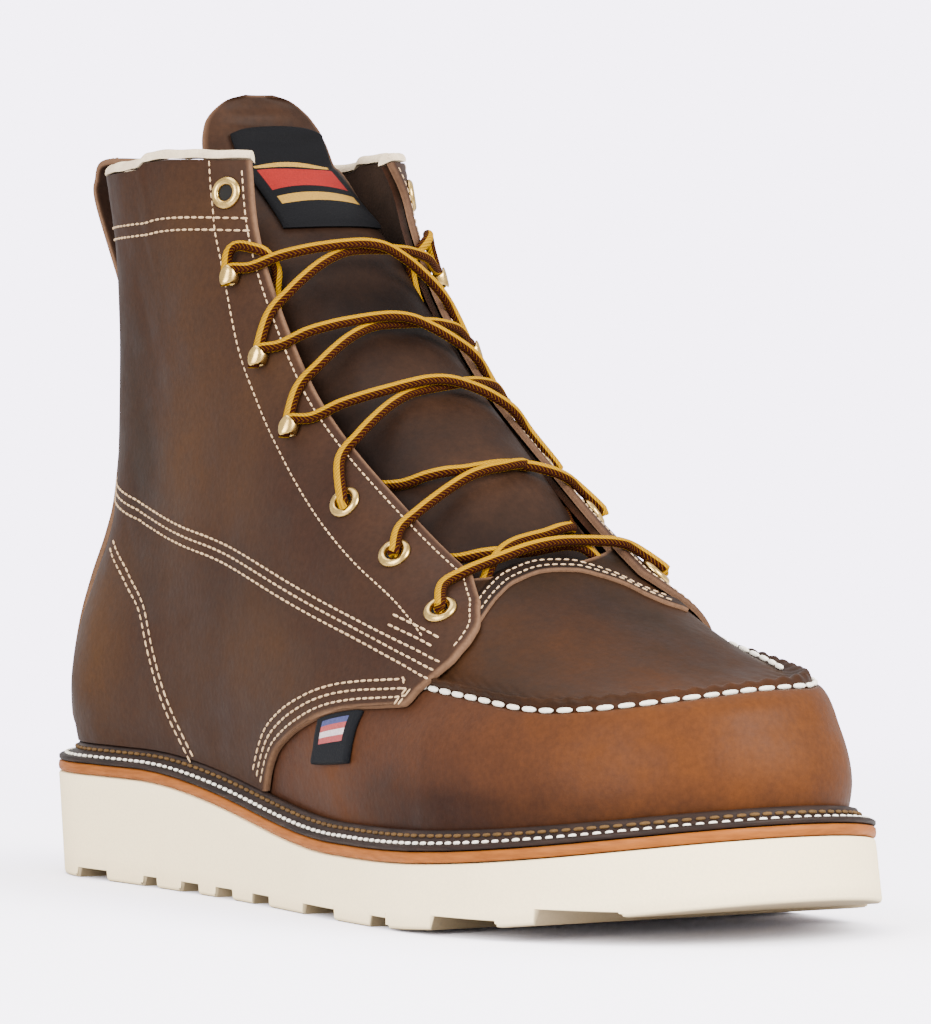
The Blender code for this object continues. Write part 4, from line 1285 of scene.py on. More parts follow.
@dataclass(frozen=True)
class Satin(Finish):
    """Woven satin with plain bands across it, each from a low to a high share of its height."""

    bands: tuple[tuple[float, float, Colour], ...]
    reach: float = 0.8

    def paint(self, graph: Graph, effects: Effects) -> None:
        """Paint the satin, its bands by the stored height over it.

        Args:
            graph: Graph of the material.
            effects: Shared effects, not used here.
        """
        height = graph.stored("height")
        weave = graph.noise(graph.place(), 2200.0, 2.0, 0.6)
        inside = graph.remap(graph.math("ABSOLUTE", graph.stored("across")), self.reach, self.reach - 0.01)
        tone: Union[Colour, Socket] = self.base
        for low, high, colour in self.bands:
            above, below = graph.math("GREATER_THAN", height, low), graph.math("LESS_THAN", height, high)
            tone = graph.mix(graph.times(graph.times(above, below), inside), tone, colour)
        tone = graph.speckled(tone, graph.remap(weave, 0.35, 0.7), (0.8, 0.8, 0.8), (1.15, 1.15, 1.15))
        graph.dress(tone, graph.remap(weave, 0.3, 0.7, 0.6, 0.75), 0.06, weave, 0.35, 0.0003)


@dataclass(frozen=True)
class Shadow(Finish):
    """Painted shade inside an eyelet: a dark disc that stands for the shaded hole."""

    def paint(self, graph: Graph, effects: Effects) -> None:
        """Paint the dark shade."""
        graph.dress(graph.mix(graph.noise(graph.place(), 900.0), self.base, BLACK), 0.95)


BLACK = (0.0, 0.0, 0.0)
GOLD, RED = (0.30, 0.17, 0.03), (0.20, 0.012, 0.010)
ROSE, CHALK, SLATE = (0.28, 0.06, 0.06), (0.50, 0.42, 0.42), (0.05, 0.055, 0.13)
LABEL_BANDS = ((0.18, 0.23, GOLD), (0.27, 0.43, RED), (0.47, 0.52, GOLD))
TAB_BANDS = ((0.42, 0.54, ROSE), (0.54, 0.66, CHALK), (0.66, 0.78, ROSE), (0.78, 0.9, SLATE))
FINISHES = {
    "vamp": Leather("vamp_leather", (0.041, 0.0168, 0.0096), (0.011, 0.0043, 0.0028),
                    (0.072, 0.0225, 0.0052), 0.2, 0.5, (0.0100, 0.0054, 0.0026)),
    "quarter": Leather("quarter_leather", (0.0240, 0.0104, 0.0062), (0.0170, 0.0097, 0.0067),
                       (0.045, 0.0205, 0.0086), 0.3, 0.55),
    "tongue": Leather("tongue_leather", (0.0052, 0.0023, 0.0015), (0.003, 0.0015, 0.0011),
                      (0.045, 0.02, 0.010), 0.4, 0.55),
    "stay": Leather("backstay_leather", (0.030, 0.014, 0.009), (0.018, 0.010, 0.007),
                    (0.046, 0.023, 0.012), 0.35, 0.55),
    "lining": Suede("brown_lining", (0.027, 0.014, 0.0085), (0.017, 0.009, 0.0055)),
    "binding": Suede("cream_binding", (0.80, 0.65, 0.45), (0.62, 0.48, 0.33), 1800.0),
    "insole": Suede("insole_nap", (0.34, 0.24, 0.14), (0.25, 0.17, 0.09)),
    "crepe": Crepe("crepe_rubber", (1.0, 0.82, 0.50), (0.09, 0.055, 0.025)),
    "midsole": EdgeDressing("midsole_edge", (0.26, 0.079, 0.0115), (0.18, 0.052, 0.008)),
    "welt": EdgeDressing("welt_leather", (0.020, 0.0105, 0.0075), (0.010, 0.006, 0.005)),
    "cream_thread": Thread("cream_thread", (0.55, 0.38, 0.22), (0.36, 0.23, 0.13)),
    "white_thread": Thread("white_thread", (0.95, 0.90, 0.80), (0.75, 0.66, 0.52)),
    "ochre_thread": Thread("ochre_thread", (0.11, 0.058, 0.018), (0.05, 0.027, 0.01)),
    "brass": Brass("polished_brass", (0.60, 0.40, 0.13), (0.30, 0.19, 0.055)),
    "lace": Braid("braided_lace", (0.35, 0.178, 0.0), (0.15, 0.066, 0.0), (0.021, 0.0036, 0.0026)),
    "label": Satin("label_satin", (0.003, 0.003, 0.0037), LABEL_BANDS),
    "tab": Satin("tab_satin", (0.006, 0.0065, 0.008), TAB_BANDS, 0.62),
    # Painted shade for the eyelet holes.
    "hole": Shadow("eyelet_dark", (0.003, 0.002, 0.0015)),
}


class Palette:
    """Materials of the boot, each made when it is first asked for."""

    def __init__(self) -> None:
        """Make the shared effects."""
        self.effects = Effects()
        self.made: dict[str, Material] = {}

    def __call__(self, name: str) -> Material:
        """Material of a named finish.

        Args:
            name: Name of the finish.

        Returns:
            The material.
        """
        if name not in self.made:
            self.made[name] = FINISHES[name].make(self.effects)
        return self.made[name]


# What repeats: stitches and lacing hardware by Geometry Nodes


class Scatter:
    """Geometry Nodes trees that set copies of a shape along lines or on points."""

    def __init__(self) -> None:
        """Make both trees."""
        self.stitches = self.stitch_tree()
        self.fittings = self.fitting_tree()

    @staticmethod
    def start_tree(name: str, inputs: dict[str, str]) -> tuple[Tree, Graph, Sockets]:
        """New tree with its sockets.

        Args:
            name: Name of the tree.
            inputs: Names and kinds of its inputs after the geometry.

        Returns:
            The tree, its graph and its input node's outputs.
        """
        tree = bpy.data.node_groups.new(name, "GeometryNodeTree")
        for label, kind in {"Geometry": "Geometry", **inputs}.items():
            tree.interface.new_socket(label, in_out="INPUT", socket_type="NodeSocket" + kind)
        tree.interface.new_socket("Geometry", in_out="OUTPUT", socket_type="NodeSocketGeometry")
        graph = Graph(tree)
        return tree, graph, graph.node("NodeGroupInput").outputs

    @staticmethod
    def finish_tree(graph: Graph, copies: dict[str, Socket], finish: Socket) -> None:
        """End a tree: copies set, made real, shaded smooth and given their finish.

        Args:
            graph: Graph of the tree.
            copies: Inputs of the copying node.
            finish: Socket with the copies' material.
        """
        placed = graph.node("GeometryNodeInstanceOnPoints", copies)
        real = graph.node("GeometryNodeRealizeInstances", {0: placed.outputs[0]})
        smooth = graph.node("GeometryNodeSetShadeSmooth", {"Geometry": real.outputs[0]})
        paint = graph.node("GeometryNodeSetMaterial", {"Geometry": smooth.outputs[0], "Material": finish})
        graph.node("NodeGroupOutput", {"Geometry": paint.outputs[0]})

    @staticmethod
    def named(graph: Graph, name: str) -> Socket:
        """Direction stored on the points."""
        node = graph.node("GeometryNodeInputNamedAttribute", {"Name": name}, data_type="FLOAT_VECTOR")
        return node.outputs[0]

    def stitch_tree(self) -> Tree:
        """Rows of stitches: a short length of thread at every pitch along the lines.

        Returns:
            The tree.
        """
        tree, graph, takes = self.start_tree("stitch_rows", {
            "Shape": "Object", "Pitch": "Float", "Size": "Vector", "Unevenness": "Float", "Seed": "Int",
            "Thread": "Material"})
        shape = graph.node("GeometryNodeObjectInfo", {"Object": takes["Shape"]})
        line = graph.node("GeometryNodeMeshToCurve", {0: takes["Geometry"]})
        spacing = {"Curve": line.outputs[0], "Length": takes["Pitch"]}
        spaced = graph.node("GeometryNodeResampleCurve", spacing, mode="LENGTH")
        turned = graph.node("GeometryNodeTransform", {"Geometry": shape.outputs["Geometry"],
                                                      "Rotation": (0.0, math.pi / 2, 0.0)})
        ahead = graph.node("GeometryNodeInputTangent").outputs[0]
        aim = graph.node("FunctionNodeAxesToRotation", {0: ahead, 1: self.named(graph, "up")},
                         primary_axis="X", secondary_axis="Z")
        low, high = (graph.math(sign, 1.0, takes["Unevenness"]) for sign in ("SUBTRACT", "ADD"))
        drawn = {2: low, 3: high, "Seed": takes["Seed"]}
        chance = graph.node("FunctionNodeRandomValue", drawn, data_type="FLOAT")
        scaled = {0: takes["Size"], "Scale": chance.outputs[1]}
        size = graph.node("ShaderNodeVectorMath", scaled, operation="SCALE")
        self.finish_tree(graph, {"Points": spaced.outputs[0], "Instance": turned.outputs[0],
                                 "Rotation": aim.outputs[0], "Scale": size.outputs[0]}, takes["Thread"])
        return tree

    def fitting_tree(self) -> Tree:
        """Fittings: a shape set on each point and turned by the point's stored directions.

        Returns:
            The tree.
        """
        tree, graph, takes = self.start_tree("lace_fittings", {"Shape": "Object", "Metal": "Material"})
        shape = graph.node("GeometryNodeObjectInfo", {"Object": takes["Shape"]})
        axes = {0: self.named(graph, "out"), 1: self.named(graph, "back")}
        aim = graph.node("FunctionNodeAxesToRotation", axes, primary_axis="Z", secondary_axis="X")
        self.finish_tree(graph, {"Points": takes["Geometry"], "Instance": shape.outputs["Geometry"],
                                 "Rotation": aim.outputs[0]}, takes["Metal"])
        return tree

    @staticmethod
    def run(name: str, points: Array, edges: Sequence[tuple[int, int]], vectors: dict[str, Array],
            tree: Tree, values: dict[str, object]) -> Object:
        """Run a tree on points or lines, and keep its result as a plain mesh.

        Args:
            name: Name of the piece.
            points: Points in millimetres.
            edges: Pairs of points that make lines.
            vectors: Directions stored on the points.
            tree: Tree to run.
            values: Values of the tree's named inputs, its pattern among them.

        Returns:
            The finished piece.
        """
        mesh = bpy.data.meshes.new(name + "_guide")
        mesh.from_pydata(to_row(points).tolist(), list(edges), [])
        for label, directions in vectors.items():
            store = mesh.attributes.new(label, "FLOAT_VECTOR", "POINT")
            store.data.foreach_set("vector", np.asarray(directions, float).reshape(-1))
        guide = new_piece(name + "_guide", mesh)
        modifier = guide.modifiers.new("rows", "NODES")
        modifier.node_group = tree
        items = tree.interface.items_tree
        sockets = {item.name: item.identifier for item in items if item.in_out == "INPUT"}
        for label, value in values.items():
            modifier[sockets[label]] = value
        graph = bpy.context.evaluated_depsgraph_get()
        result = bpy.data.meshes.new_from_object(guide.evaluated_get(graph))
        result.name = name
        guide.modifiers.remove(modifier)
        for used in (guide, values["Shape"]):
            spent = used.data
            bpy.data.objects.remove(used, do_unlink=True)
            bpy.data.meshes.remove(spent)
        for label in vectors:
            if label in result.attributes:
                result.attributes.remove(result.attributes[label])
        return new_piece(name, result)


def pattern(points: Sequence[Sequence[float]], faces: Sequence[Sequence[int]]) -> Object:
    """Pattern object in millimetres, removed once its copies are made.

    Args:
        points: Points in millimetres.
        faces: Corners of each face.

    Returns:
        The pattern object.
    """
    mesh = bpy.data.meshes.new("pattern")
    mesh.from_pydata((np.array(points) * MM).tolist(), [], faces)
    smooth_mesh(mesh)
    return new_piece("pattern", mesh)


def turned_points(section: Sequence[tuple[float, float]], turns: int, aside: float = 0.0) -> list[tuple]:
    """Points of a section of radii and heights turned about an upright axis.

    Args:
        section: Radii and heights.
        turns: Points round the axis.
        aside: Distance of the axis along x.

    Returns:
        Points, loop by loop.
    """
    angles = np.linspace(0.0, 2 * math.pi, turns, endpoint=False)
    return [(radius * math.cos(a) + aside, radius * math.sin(a), height)
            for radius, height in section for a in angles]


def lathe(section: Sequence[tuple[float, float]], turns: int, closed: bool) -> Object:
    """Pattern turned about its own upright axis.

    Args:
        section: Radii and heights in millimetres.
        turns: Points round the axis.
        closed: Whether the section closes on itself, as a ring's does.

    Returns:
        The pattern object.
    """
    size = len(section), turns
    return pattern(turned_points(section, turns),
                   ring_quads(*size, closed=closed) + ([] if closed else end_caps(*size)))


class Row(NamedTuple):
    """One line of stitches: its points and the surface's outward directions there."""

    points: Array
    outward: Array
    closed: bool = False


class Seam(NamedTuple):
    """Size of one kind of stitch."""

    pitch: float
    length: float
    width: float
    height: float


FINE_SEAM = Seam(2.75, 2.15, 0.66, 0.6)
SMALL_SEAM = Seam(2.1, 1.5, 0.52, 0.5)
WELT_SEAM = Seam(3.1, 2.05, 1.1, 0.9)
BEAD_SEAM = Seam(3.3, 2.5, 1.1, 1.0)
MOC_SEAM = Seam(5.2, 4.3, 1.5, 1.3)


class Stitching:
    """Rows of stitches, gathered by piece and made by one tree."""

    profile = tuple((500.0 * math.sqrt(1.0 - abs(t) ** 3), 500.0 * t)
                    for t in (-0.99, -0.9, -0.65, 0.0, 0.65, 0.9, 0.99))

    unevenness = 0.06

    def __init__(self, scatter: Scatter, palette: Palette) -> None:
        """Keep what the rows are made with.

        Args:
            scatter: Trees that make the copies.
            palette: Materials of the boot.
        """
        self.scatter = scatter
        self.palette = palette
        self.seed = 11

    def sew(self, name: str, rows: Sequence[Row], seam: Seam, thread: str = "cream_thread") -> None:
        """Sew rows as one piece.

        Args:
            name: Name of the piece.
            rows: Lines to sew.
            seam: Size of the stitches.
            thread: Finish of the thread.
        """
        points, outward, edges, first = [], [], [], 0
        for row in rows:
            count = len(row.points)
            points.append(row.points)
            outward.append(row.outward)
            edges += [(first + i, first + i + 1) for i in range(count - 1)]
            if row.closed:
                edges.append((first + count - 1, first))
            first += count
        self.seed += 1
        shape = lathe(self.profile, 8, False)
        size = (seam.length * MM, seam.width * MM, seam.height * MM)
        values = {"Shape": shape, "Pitch": seam.pitch * MM, "Size": size, "Unevenness": self.unevenness,
                  "Seed": self.seed, "Thread": self.palette(thread)}
        piece = self.scatter.run(name, np.vstack(points), edges, {"up": np.vstack(outward)},
                                 self.scatter.stitches, values)
        settle(piece, Slot.LACE)


def surface_row(level: Array, around: Array, offset: float) -> Row:
    """Stitch line on the last at given levels and places, as far out as the panel's own relief."""
    base, outward = LAST.frame_at(level, around)
    return Row(base + outward * (offset + relief(base))[..., None], outward)


def stop_line(stops: Sequence[tuple[float, float]], side: Side, count: int = 60) -> tuple[Array, Array]:
    """Levels and places along a line given by its places along the boot and levels.

    Args:
        stops: Pairs of x and level.
        side: Side of the boot.
        count: Number of points.

    Returns:
        Levels and places around.
    """
    spread = np.array(stops, float) * (1.0, 14.0)
    x, level = (curve_through(spread, count) / (1.0, 14.0)).T
    return level, side * LAST.share_at_x(level, side, x)


def beside(level: Array, around: Array, distance: float, towards: Array) -> tuple[Array, Array]:
    """Line on the last a distance to one side of another.

    Args:
        level: Levels of the first line.
        around: Its places around.
        distance: Distance between the lines.
        towards: Point on the side that the new line lies on.

    Returns:
        Levels and places of the new line.
    """
    points, normal = LAST.frame_at(level, around)
    aside = unit(np.cross(normal, np.gradient(points, axis=0)))
    middle = len(points) // 2
    sign = np.sign((aside[middle] * (np.asarray(towards) - points[middle])).sum())
    return LAST.project(points + aside * sign * distance, level, around)


# Sole


class Groove(NamedTuple):
    """Groove across the tread."""

    start: float
    length: float


@dataclass
class Sole:
    """Wedge outsole, midsole, welt and insole."""

    palette: Palette
    stitching: Stitching
    count: int = 300
    bevel: float = 1.0
    tread_depth: float = 2.5
    midsole_edge: float = 2.6
    fit: float = 0.3
    bead_inside: float = 0.65
    bead_width: float = 1.6
    insole_inset: float = 3.3
    insole_thickness: float = 4.0
    grooves: tuple[Groove, ...] = tuple(Groove(*groove) for groove in (
        (37.0, 16.4), (73.0, 7.7), (94.3, 10.1), (114.1, 10.2), (136.5, 11.1),
        (169.6, 19.6), (209.4, 8.9), (237.4, 20.7), (268.3, 17.9)))

    def places(self) -> Array:
        """Shares round half the sole, with a pair at each wall of each groove.

        Returns:
            Shares, from the front to the back.
        """
        x, half = LAST.half_outline(TREAD)
        length = run_length(np.column_stack((x, half)))
        share = length / length[-1]
        walls = [edge + side for groove in self.grooves
                 for edge in (groove.start, groove.start + groove.length) for side in (-0.1, 0.1)]
        extra = np.interp(np.negative(walls), -x, share)
        even = np.linspace(0.0, 1.0, self.count + 1)
        clear = np.abs(even[:, None] - extra[None, :]).min(axis=1) > 0.0006
        return np.sort(np.concatenate((even[clear], extra)))

    def loop(self, share: float, grow: float, height: Callable[[Array], Array],
             places: Optional[Array] = None) -> Array:
        """Closed loop round the sole, from its tread (share 0) to its top edge (share 1).

        Args:
            share: Height share between the two outlines.
            grow: Distance to grow outwards.
            height: Height at a place along the boot.
            places: Shares of half the outline, even ones where left out.

        Returns:
            Points from the front over the lateral side to the back and over the medial side.
        """
        ring = Ring(*(low + (high - low) * share for low, high in zip(TREAD, EDGE)))
        x, half = LAST.half_outline(ring, grow)
        length = run_length(np.column_stack((x, half)))
        if places is None:
            places = np.linspace(0.0, 1.0, self.count + 1)
        x = np.interp(places, length / length[-1], x)
        half = np.interp(places, length / length[-1], half)
        sides = [np.column_stack((x, WEDGE.axis(x) + side * half, height(x))) for side in Side]
        return np.vstack((sides[0], sides[1][-2:0:-1]))

    def floor_height(self, x: Array) -> Array:
        """Height of the tread, raised in the grooves.

        Args:
            x: Places along the boot.

        Returns:
            Heights.
        """
        height = WEDGE.spring(x)
        for groove in self.grooves:
            inside = (x > groove.start) & (x < groove.start + groove.length)
            middle = WEDGE.spring(groove.start + groove.length / 2) + self.tread_depth
            height = np.where(inside, middle, height)
        return height

    def build_outsole(self) -> None:
        """Wedge with a flared wall, rounded edges and grooves across its tread."""
        places = self.places()
        top = self.midsole_edge + self.fit

        def wall(share: float) -> Callable[[Array], Array]:
            """Height on the wall at a share.

            Args:
                share: Share of the wall's height.

            Returns:
                Function of the place along the boot.
            """
            low = self.bevel
            return lambda x: np.maximum(WEDGE.spring(x) + low + (rim(x) - low - WEDGE.spring(x)) * share,
                                        self.floor_height(x) + low * (0.3 + share))

        def rim(x: Array) -> Array:
            """Height of the wedge's top."""
            return WEDGE.top(x) - top
        section = (
            (0.0, -self.bevel, self.floor_height), (0.0, -0.3, lambda x: self.floor_height(x) + 0.3),
            *((share, 0.0, wall(share)) for share in (0.0, 0.2, 0.5, 0.8)),
            (1.0, 0.0, lambda x: rim(x) - 0.7), (1.0, -0.2, lambda x: rim(x) - 0.2), (1.0, -0.7, rim))
        solid = Solid("outsole_crepe")
        solid.add_stack([self.loop(*step, places) for step in section],
                        low=np.array((1.0, 0.6, 0.12, 0.0, 0.0, 0.0, 0.0, 0.06, 0.06))[:, None])
        settle(solid.make([self.palette("crepe")], 35.0), Slot.CREPE, ["outsole"])

    def build_midsole(self) -> None:
        """Thin layer that shows as a line all round."""
        thick = self.midsole_edge
        section = ((-0.4, 0.0), (0.0, 0.35), (0.12, thick / 2), (0.0, thick - 0.35), (-0.4, thick))
        solid = Solid("midsole_layer")
        solid.add_stack([self.loop(1.0, grow, lambda x, up=up: WEDGE.top(x) - thick + up)
                         for grow, up in section])
        settle(solid.make([self.palette("midsole")]), Slot.MIDSOLE, ["midsole"])

    def build_welt(self) -> None:
        """Welt strip with its bead, and the two rows of stitches on it."""
        inside, foot = self.bead_inside, self.bead_inside + self.bead_width

        def on_sole(grow: float, up: float) -> Array:
            """Loop on the edge of the welt."""
            return self.loop(1.0, grow, lambda x: WEDGE.top(x) + up)
        edge, root = on_sole(-0.5, 1.75), LAST.loop(3.5, foot + 1.0, self.count)
        feather = LAST.loop(0.5, inside, self.count)
        feather[:, 2] = WEDGE.top(feather[:, 0]) + self.fit
        strip = [edge + (root - edge) * t - np.array((0.0, 0.0, 0.5 * math.sin(math.pi * t)))
                 for t in (0.35, 0.7)]
        bead = [LAST.loop(rise, out, self.count) for rise, out in (
            (4.0, foot + 0.35), (4.7, foot), (5.2, foot - 0.5), (5.2, inside + 0.4), (4.9, inside),
            (2.6, inside))]
        rim = [on_sole(-0.25, self.fit), on_sole(0.0, 0.6), on_sole(0.0, 1.35)]
        solid = Solid("welt_strip")
        solid.add_band([*rim, edge, *strip, root, *bead, feather])
        settle(solid.make([self.palette("welt")], 60.0), Slot.WELT, ["welt"])
        up = np.tile((0.0, 0.0, 1.0), (len(edge), 1))
        outward = unit((edge - root) * (1, 1, 0)) * 0.5 + up
        lock = edge + (root - edge) * 0.36 + np.array((0.0, 0.0, -0.15))
        raised = LAST.loop(4.1, foot + 0.5, self.count)
        for name, line, seam, thread in (("welt_lockstitch", lock, WELT_SEAM, "white_thread"),
                                         ("welt_bead_stitch", raised, BEAD_SEAM, "ochre_thread")):
            self.stitching.sew(name, [Row(line, unit(outward), True)], seam, thread)

    def build_insole(self) -> None:
        """Insole, a little crowned, that closes the upper underneath."""
        plan = LAST.loop(0.5, -self.insole_inset, 90)
        middle = np.column_stack((plan[:, 0], WEDGE.axis(plan[:, 0]), plan[:, 2]))

        def at(share: float, rise: float) -> Array:
            """Loop of the insole drawn in towards its middle.

            Args:
                share: Share of the full width.
                rise: Height above the midsole.

            Returns:
                Points of the loop.
            """
            loop = middle + (plan - middle) * share
            loop[:, 2] = WEDGE.top(loop[:, 0]) + rise
            return loop
        high = self.fit + self.insole_thickness
        solid = Solid("insole_bed")
        solid.add_stack([at(1.0, self.fit)] + [at(share, high - drop) for share, drop in (
            (1.0, 0.8), (0.98, 0.2), (0.94, 0.0), (0.7, 0.1), (0.35, 0.3))])
        settle(solid.make([self.palette("insole")]), Slot.INSOLE, ["insole"])

    def build(self) -> None:
        """Build the whole sole."""
        self.build_outsole()
        self.build_midsole()
        self.build_welt()
        self.build_insole()


# Upper


class SeamStop(NamedTuple):
    """Place of the moc seam: its place along the boot and its level."""

    x: float
    level: float


@dataclass
class Upper:
    """Vamp and plug as one hollow shell with its lining, and the moc seam round the toe."""

    palette: Palette
    stitching: Stitching
    ridge: float = 1.5
    groove: float = 0.9
    pleat: float = 5.2
    front_columns: int = 36
    side_columns: int = 80
    heel_columns: int = 36
    side_share: float = 0.42
    inner_start: float = 0.12
    setback: float = 1.2
    lateral: tuple[SeamStop, ...] = tuple(SeamStop(*stop) for stop in (
        (282.0, 3.07), (278.0, 2.97), (268.0, 2.87), (260.0, 2.85),
        (250.0, 2.92), (236.0, 3.08), (220.0, 3.2), (200.0, 3.3)))
    medial: tuple[SeamStop, ...] = tuple(SeamStop(*stop) for stop in (
        (283.5, 3.09), (281.0, 3.01), (272.0, 3.0), (260.0, 3.1),
        (241.0, 3.3), (222.0, 3.42), (207.0, 3.5), (195.0, 3.5)))
    front_level: float = 3.18

    def seam_table(self) -> tuple[Array, Array]:
        """Places around and levels of the moc seam's stops, from lateral to medial.

        Returns:
            Places and levels.
        """
        places, levels = [], []
        for stop in reversed(self.lateral):
            places.append(-LAST.share_at_x(stop.level, Side.LATERAL, stop.x)[0])
            levels.append(stop.level)
        places.append(0.0)
        levels.append(self.front_level)
        for stop in self.medial:
            places.append(LAST.share_at_x(stop.level, Side.MEDIAL, stop.x)[0])
            levels.append(stop.level)
        return np.array(places), np.array(levels)

    def seam_line(self, count: int = 400) -> tuple[Array, Array, Array]:
        """Levels, places and lengths along the moc seam.

        Args:
            count: Number of points.

        Returns:
            Levels, places and lengths.
        """
        places, levels = self.seam_table()
        around = np.linspace(places[0], places[-1], count)
        level = smooth_through(places, levels, around)
        points = LAST.point(level, around)
        return level, around, run_length(points)

    def shape(self, level: Array, around: Array, base: Array) -> tuple[Array, Array, Array]:
        """Relief of the upper: moc ridge with its pleats, groove and folds.

        Args:
            level: Levels of the points.
            around: Places of the points.
            base: Points of the last.

        Returns:
            Heights, painted shade in the groove, and the plug's share.
        """
        seam_level, seam_around, seam_length = self.seam_line()
        at = np.interp(around, seam_around, seam_level)
        along = np.interp(around, seam_around, seam_length)
        up = (level - at) * 13.5
        ends = eased((around - seam_around[0]) / 0.04) * eased((seam_around[-1] - around) / 0.04)
        uneven = np.sin(along / 9.0) + np.sin(along / 5.3 + 1.0)
        pleats = 1.0 + (0.15 + 0.04 * uneven) * np.cos(2 * math.pi * along / self.pleat)
        ridge = self.ridge * bump(up - 2.3, 1.5) * pleats
        puckers = 0.18 * bump(up - 5.2, 3.0) * np.cos(2 * math.pi * along / self.pleat)
        groove = -self.groove * bump(up + 0.1, 1.15) - 0.5 * bump(up - 6.5, 3.0)
        height = (ridge + groove + puckers) * ends + relief(base)
        # Painted shade: darker in the moc groove and faintly along the puckers above the ridge.
        shade = (0.85 * bump(up + 0.1, 1.3) + 0.3 * bump(up - 5.0, 1.6)) * ends
        return height, shade, eased((up - 0.6) / 1.2 + 0.5)

    def levels(self) -> Array:
        """Levels of the shell's rows, close together round the moc seam."""
        return np.concatenate([np.linspace(*part) for part in (
            (0.0, 2.6, 23), (2.65, 3.85, 41), (3.92, 4.9, 15), (4.93, 5.0, 4), (5.15, 9.0, 24))])

    def places(self, level: float, side: Side) -> Array:
        """Shares of one side's columns at a level: half the throat first, then the side.

        Args:
            level: Levels, counted in rings.
            side: Side of the boot.

        Returns:
            Shares, from the front to the back.
        """
        at = max(level, LAST.throat_level)
        edge = LAST.share_at_gap(at, side, LAST.throat_gap(level, side) + self.setback)[0]
        turn = max(self.side_share, edge + 0.2)
        return np.concatenate((np.linspace(0.0, edge, self.front_columns + 1),
                               np.linspace(edge, turn, self.side_columns + 1)[1:],
                               np.linspace(turn, 1.0, self.heel_columns + 1)[1:]))

    def build_shell(self) -> None:
        """Hollow shell, open underneath, down the throat and at the collar."""
        levels = self.levels()
        rows = []
        for level in levels:
            lateral, medial = (self.places(level, side) for side in Side)
            rows.append(np.concatenate((-lateral[:0:-1], [0.0], medial[1:-1])))
        around = np.array(rows)
        level = np.repeat(levels[:, None], around.shape[1], axis=1)
        base, normal = LAST.frame_at(level, around)
        height, shade, plug = self.shape(level, around, base)
        rim = np.where(np.abs(level - LAST.throat_level) < 0.02, 1.0, 0.0)
        outer = base + normal * height[..., None]
        inner = base + normal * (np.minimum(height, 0.0) - WALLS.upper)[..., None]
        warm, dark = tones(base)
        warm = warm * (1.0 - 0.7 * plug)
        half = self.front_columns + self.side_columns + self.heel_columns
        columns = around.shape[1]
        throat_row = int(np.argmin(np.abs(levels - LAST.throat_level)))
        keep = np.ones((len(levels) - 1, columns), bool)
        keep[throat_row:, half - self.front_columns:half + self.front_columns] = False
        solid = Solid("vamp_and_plug")
        solid.add_shell(outer, inner, keep, True, 1, {"edge": rim}, edge=rim, fold=shade, warm=warm,
                        dark=dark, plug=plug)
        settle(solid.make([self.palette("vamp"), self.palette("lining")]), Slot.LEATHER, ["upper"])

    def build_seam(self) -> None:
        """Bold hand stitches round the toe, showing inside the ridge too on its far side."""
        level, around, length = self.seam_line()
        shown = (length > 6.0) & (length < length[-1] - 6.0)
        level, around = level[shown], around[shown]
        rows = []
        for aside, lift, first in ((-0.02, 0.75 - self.groove, -1.0), (0.5, 0.3, self.inner_start)):
            part = around > first
            base, normal = LAST.frame_at(level[part] + aside, around[part])
            rows.append(Row(base + normal * (relief(base) + lift)[..., None], normal))
        self.stitching.sew("moc_stitches", rows, MOC_SEAM, "white_thread")

    def build(self) -> None:
        """Build the shell and its seam."""
        self.build_shell()
        self.build_seam()


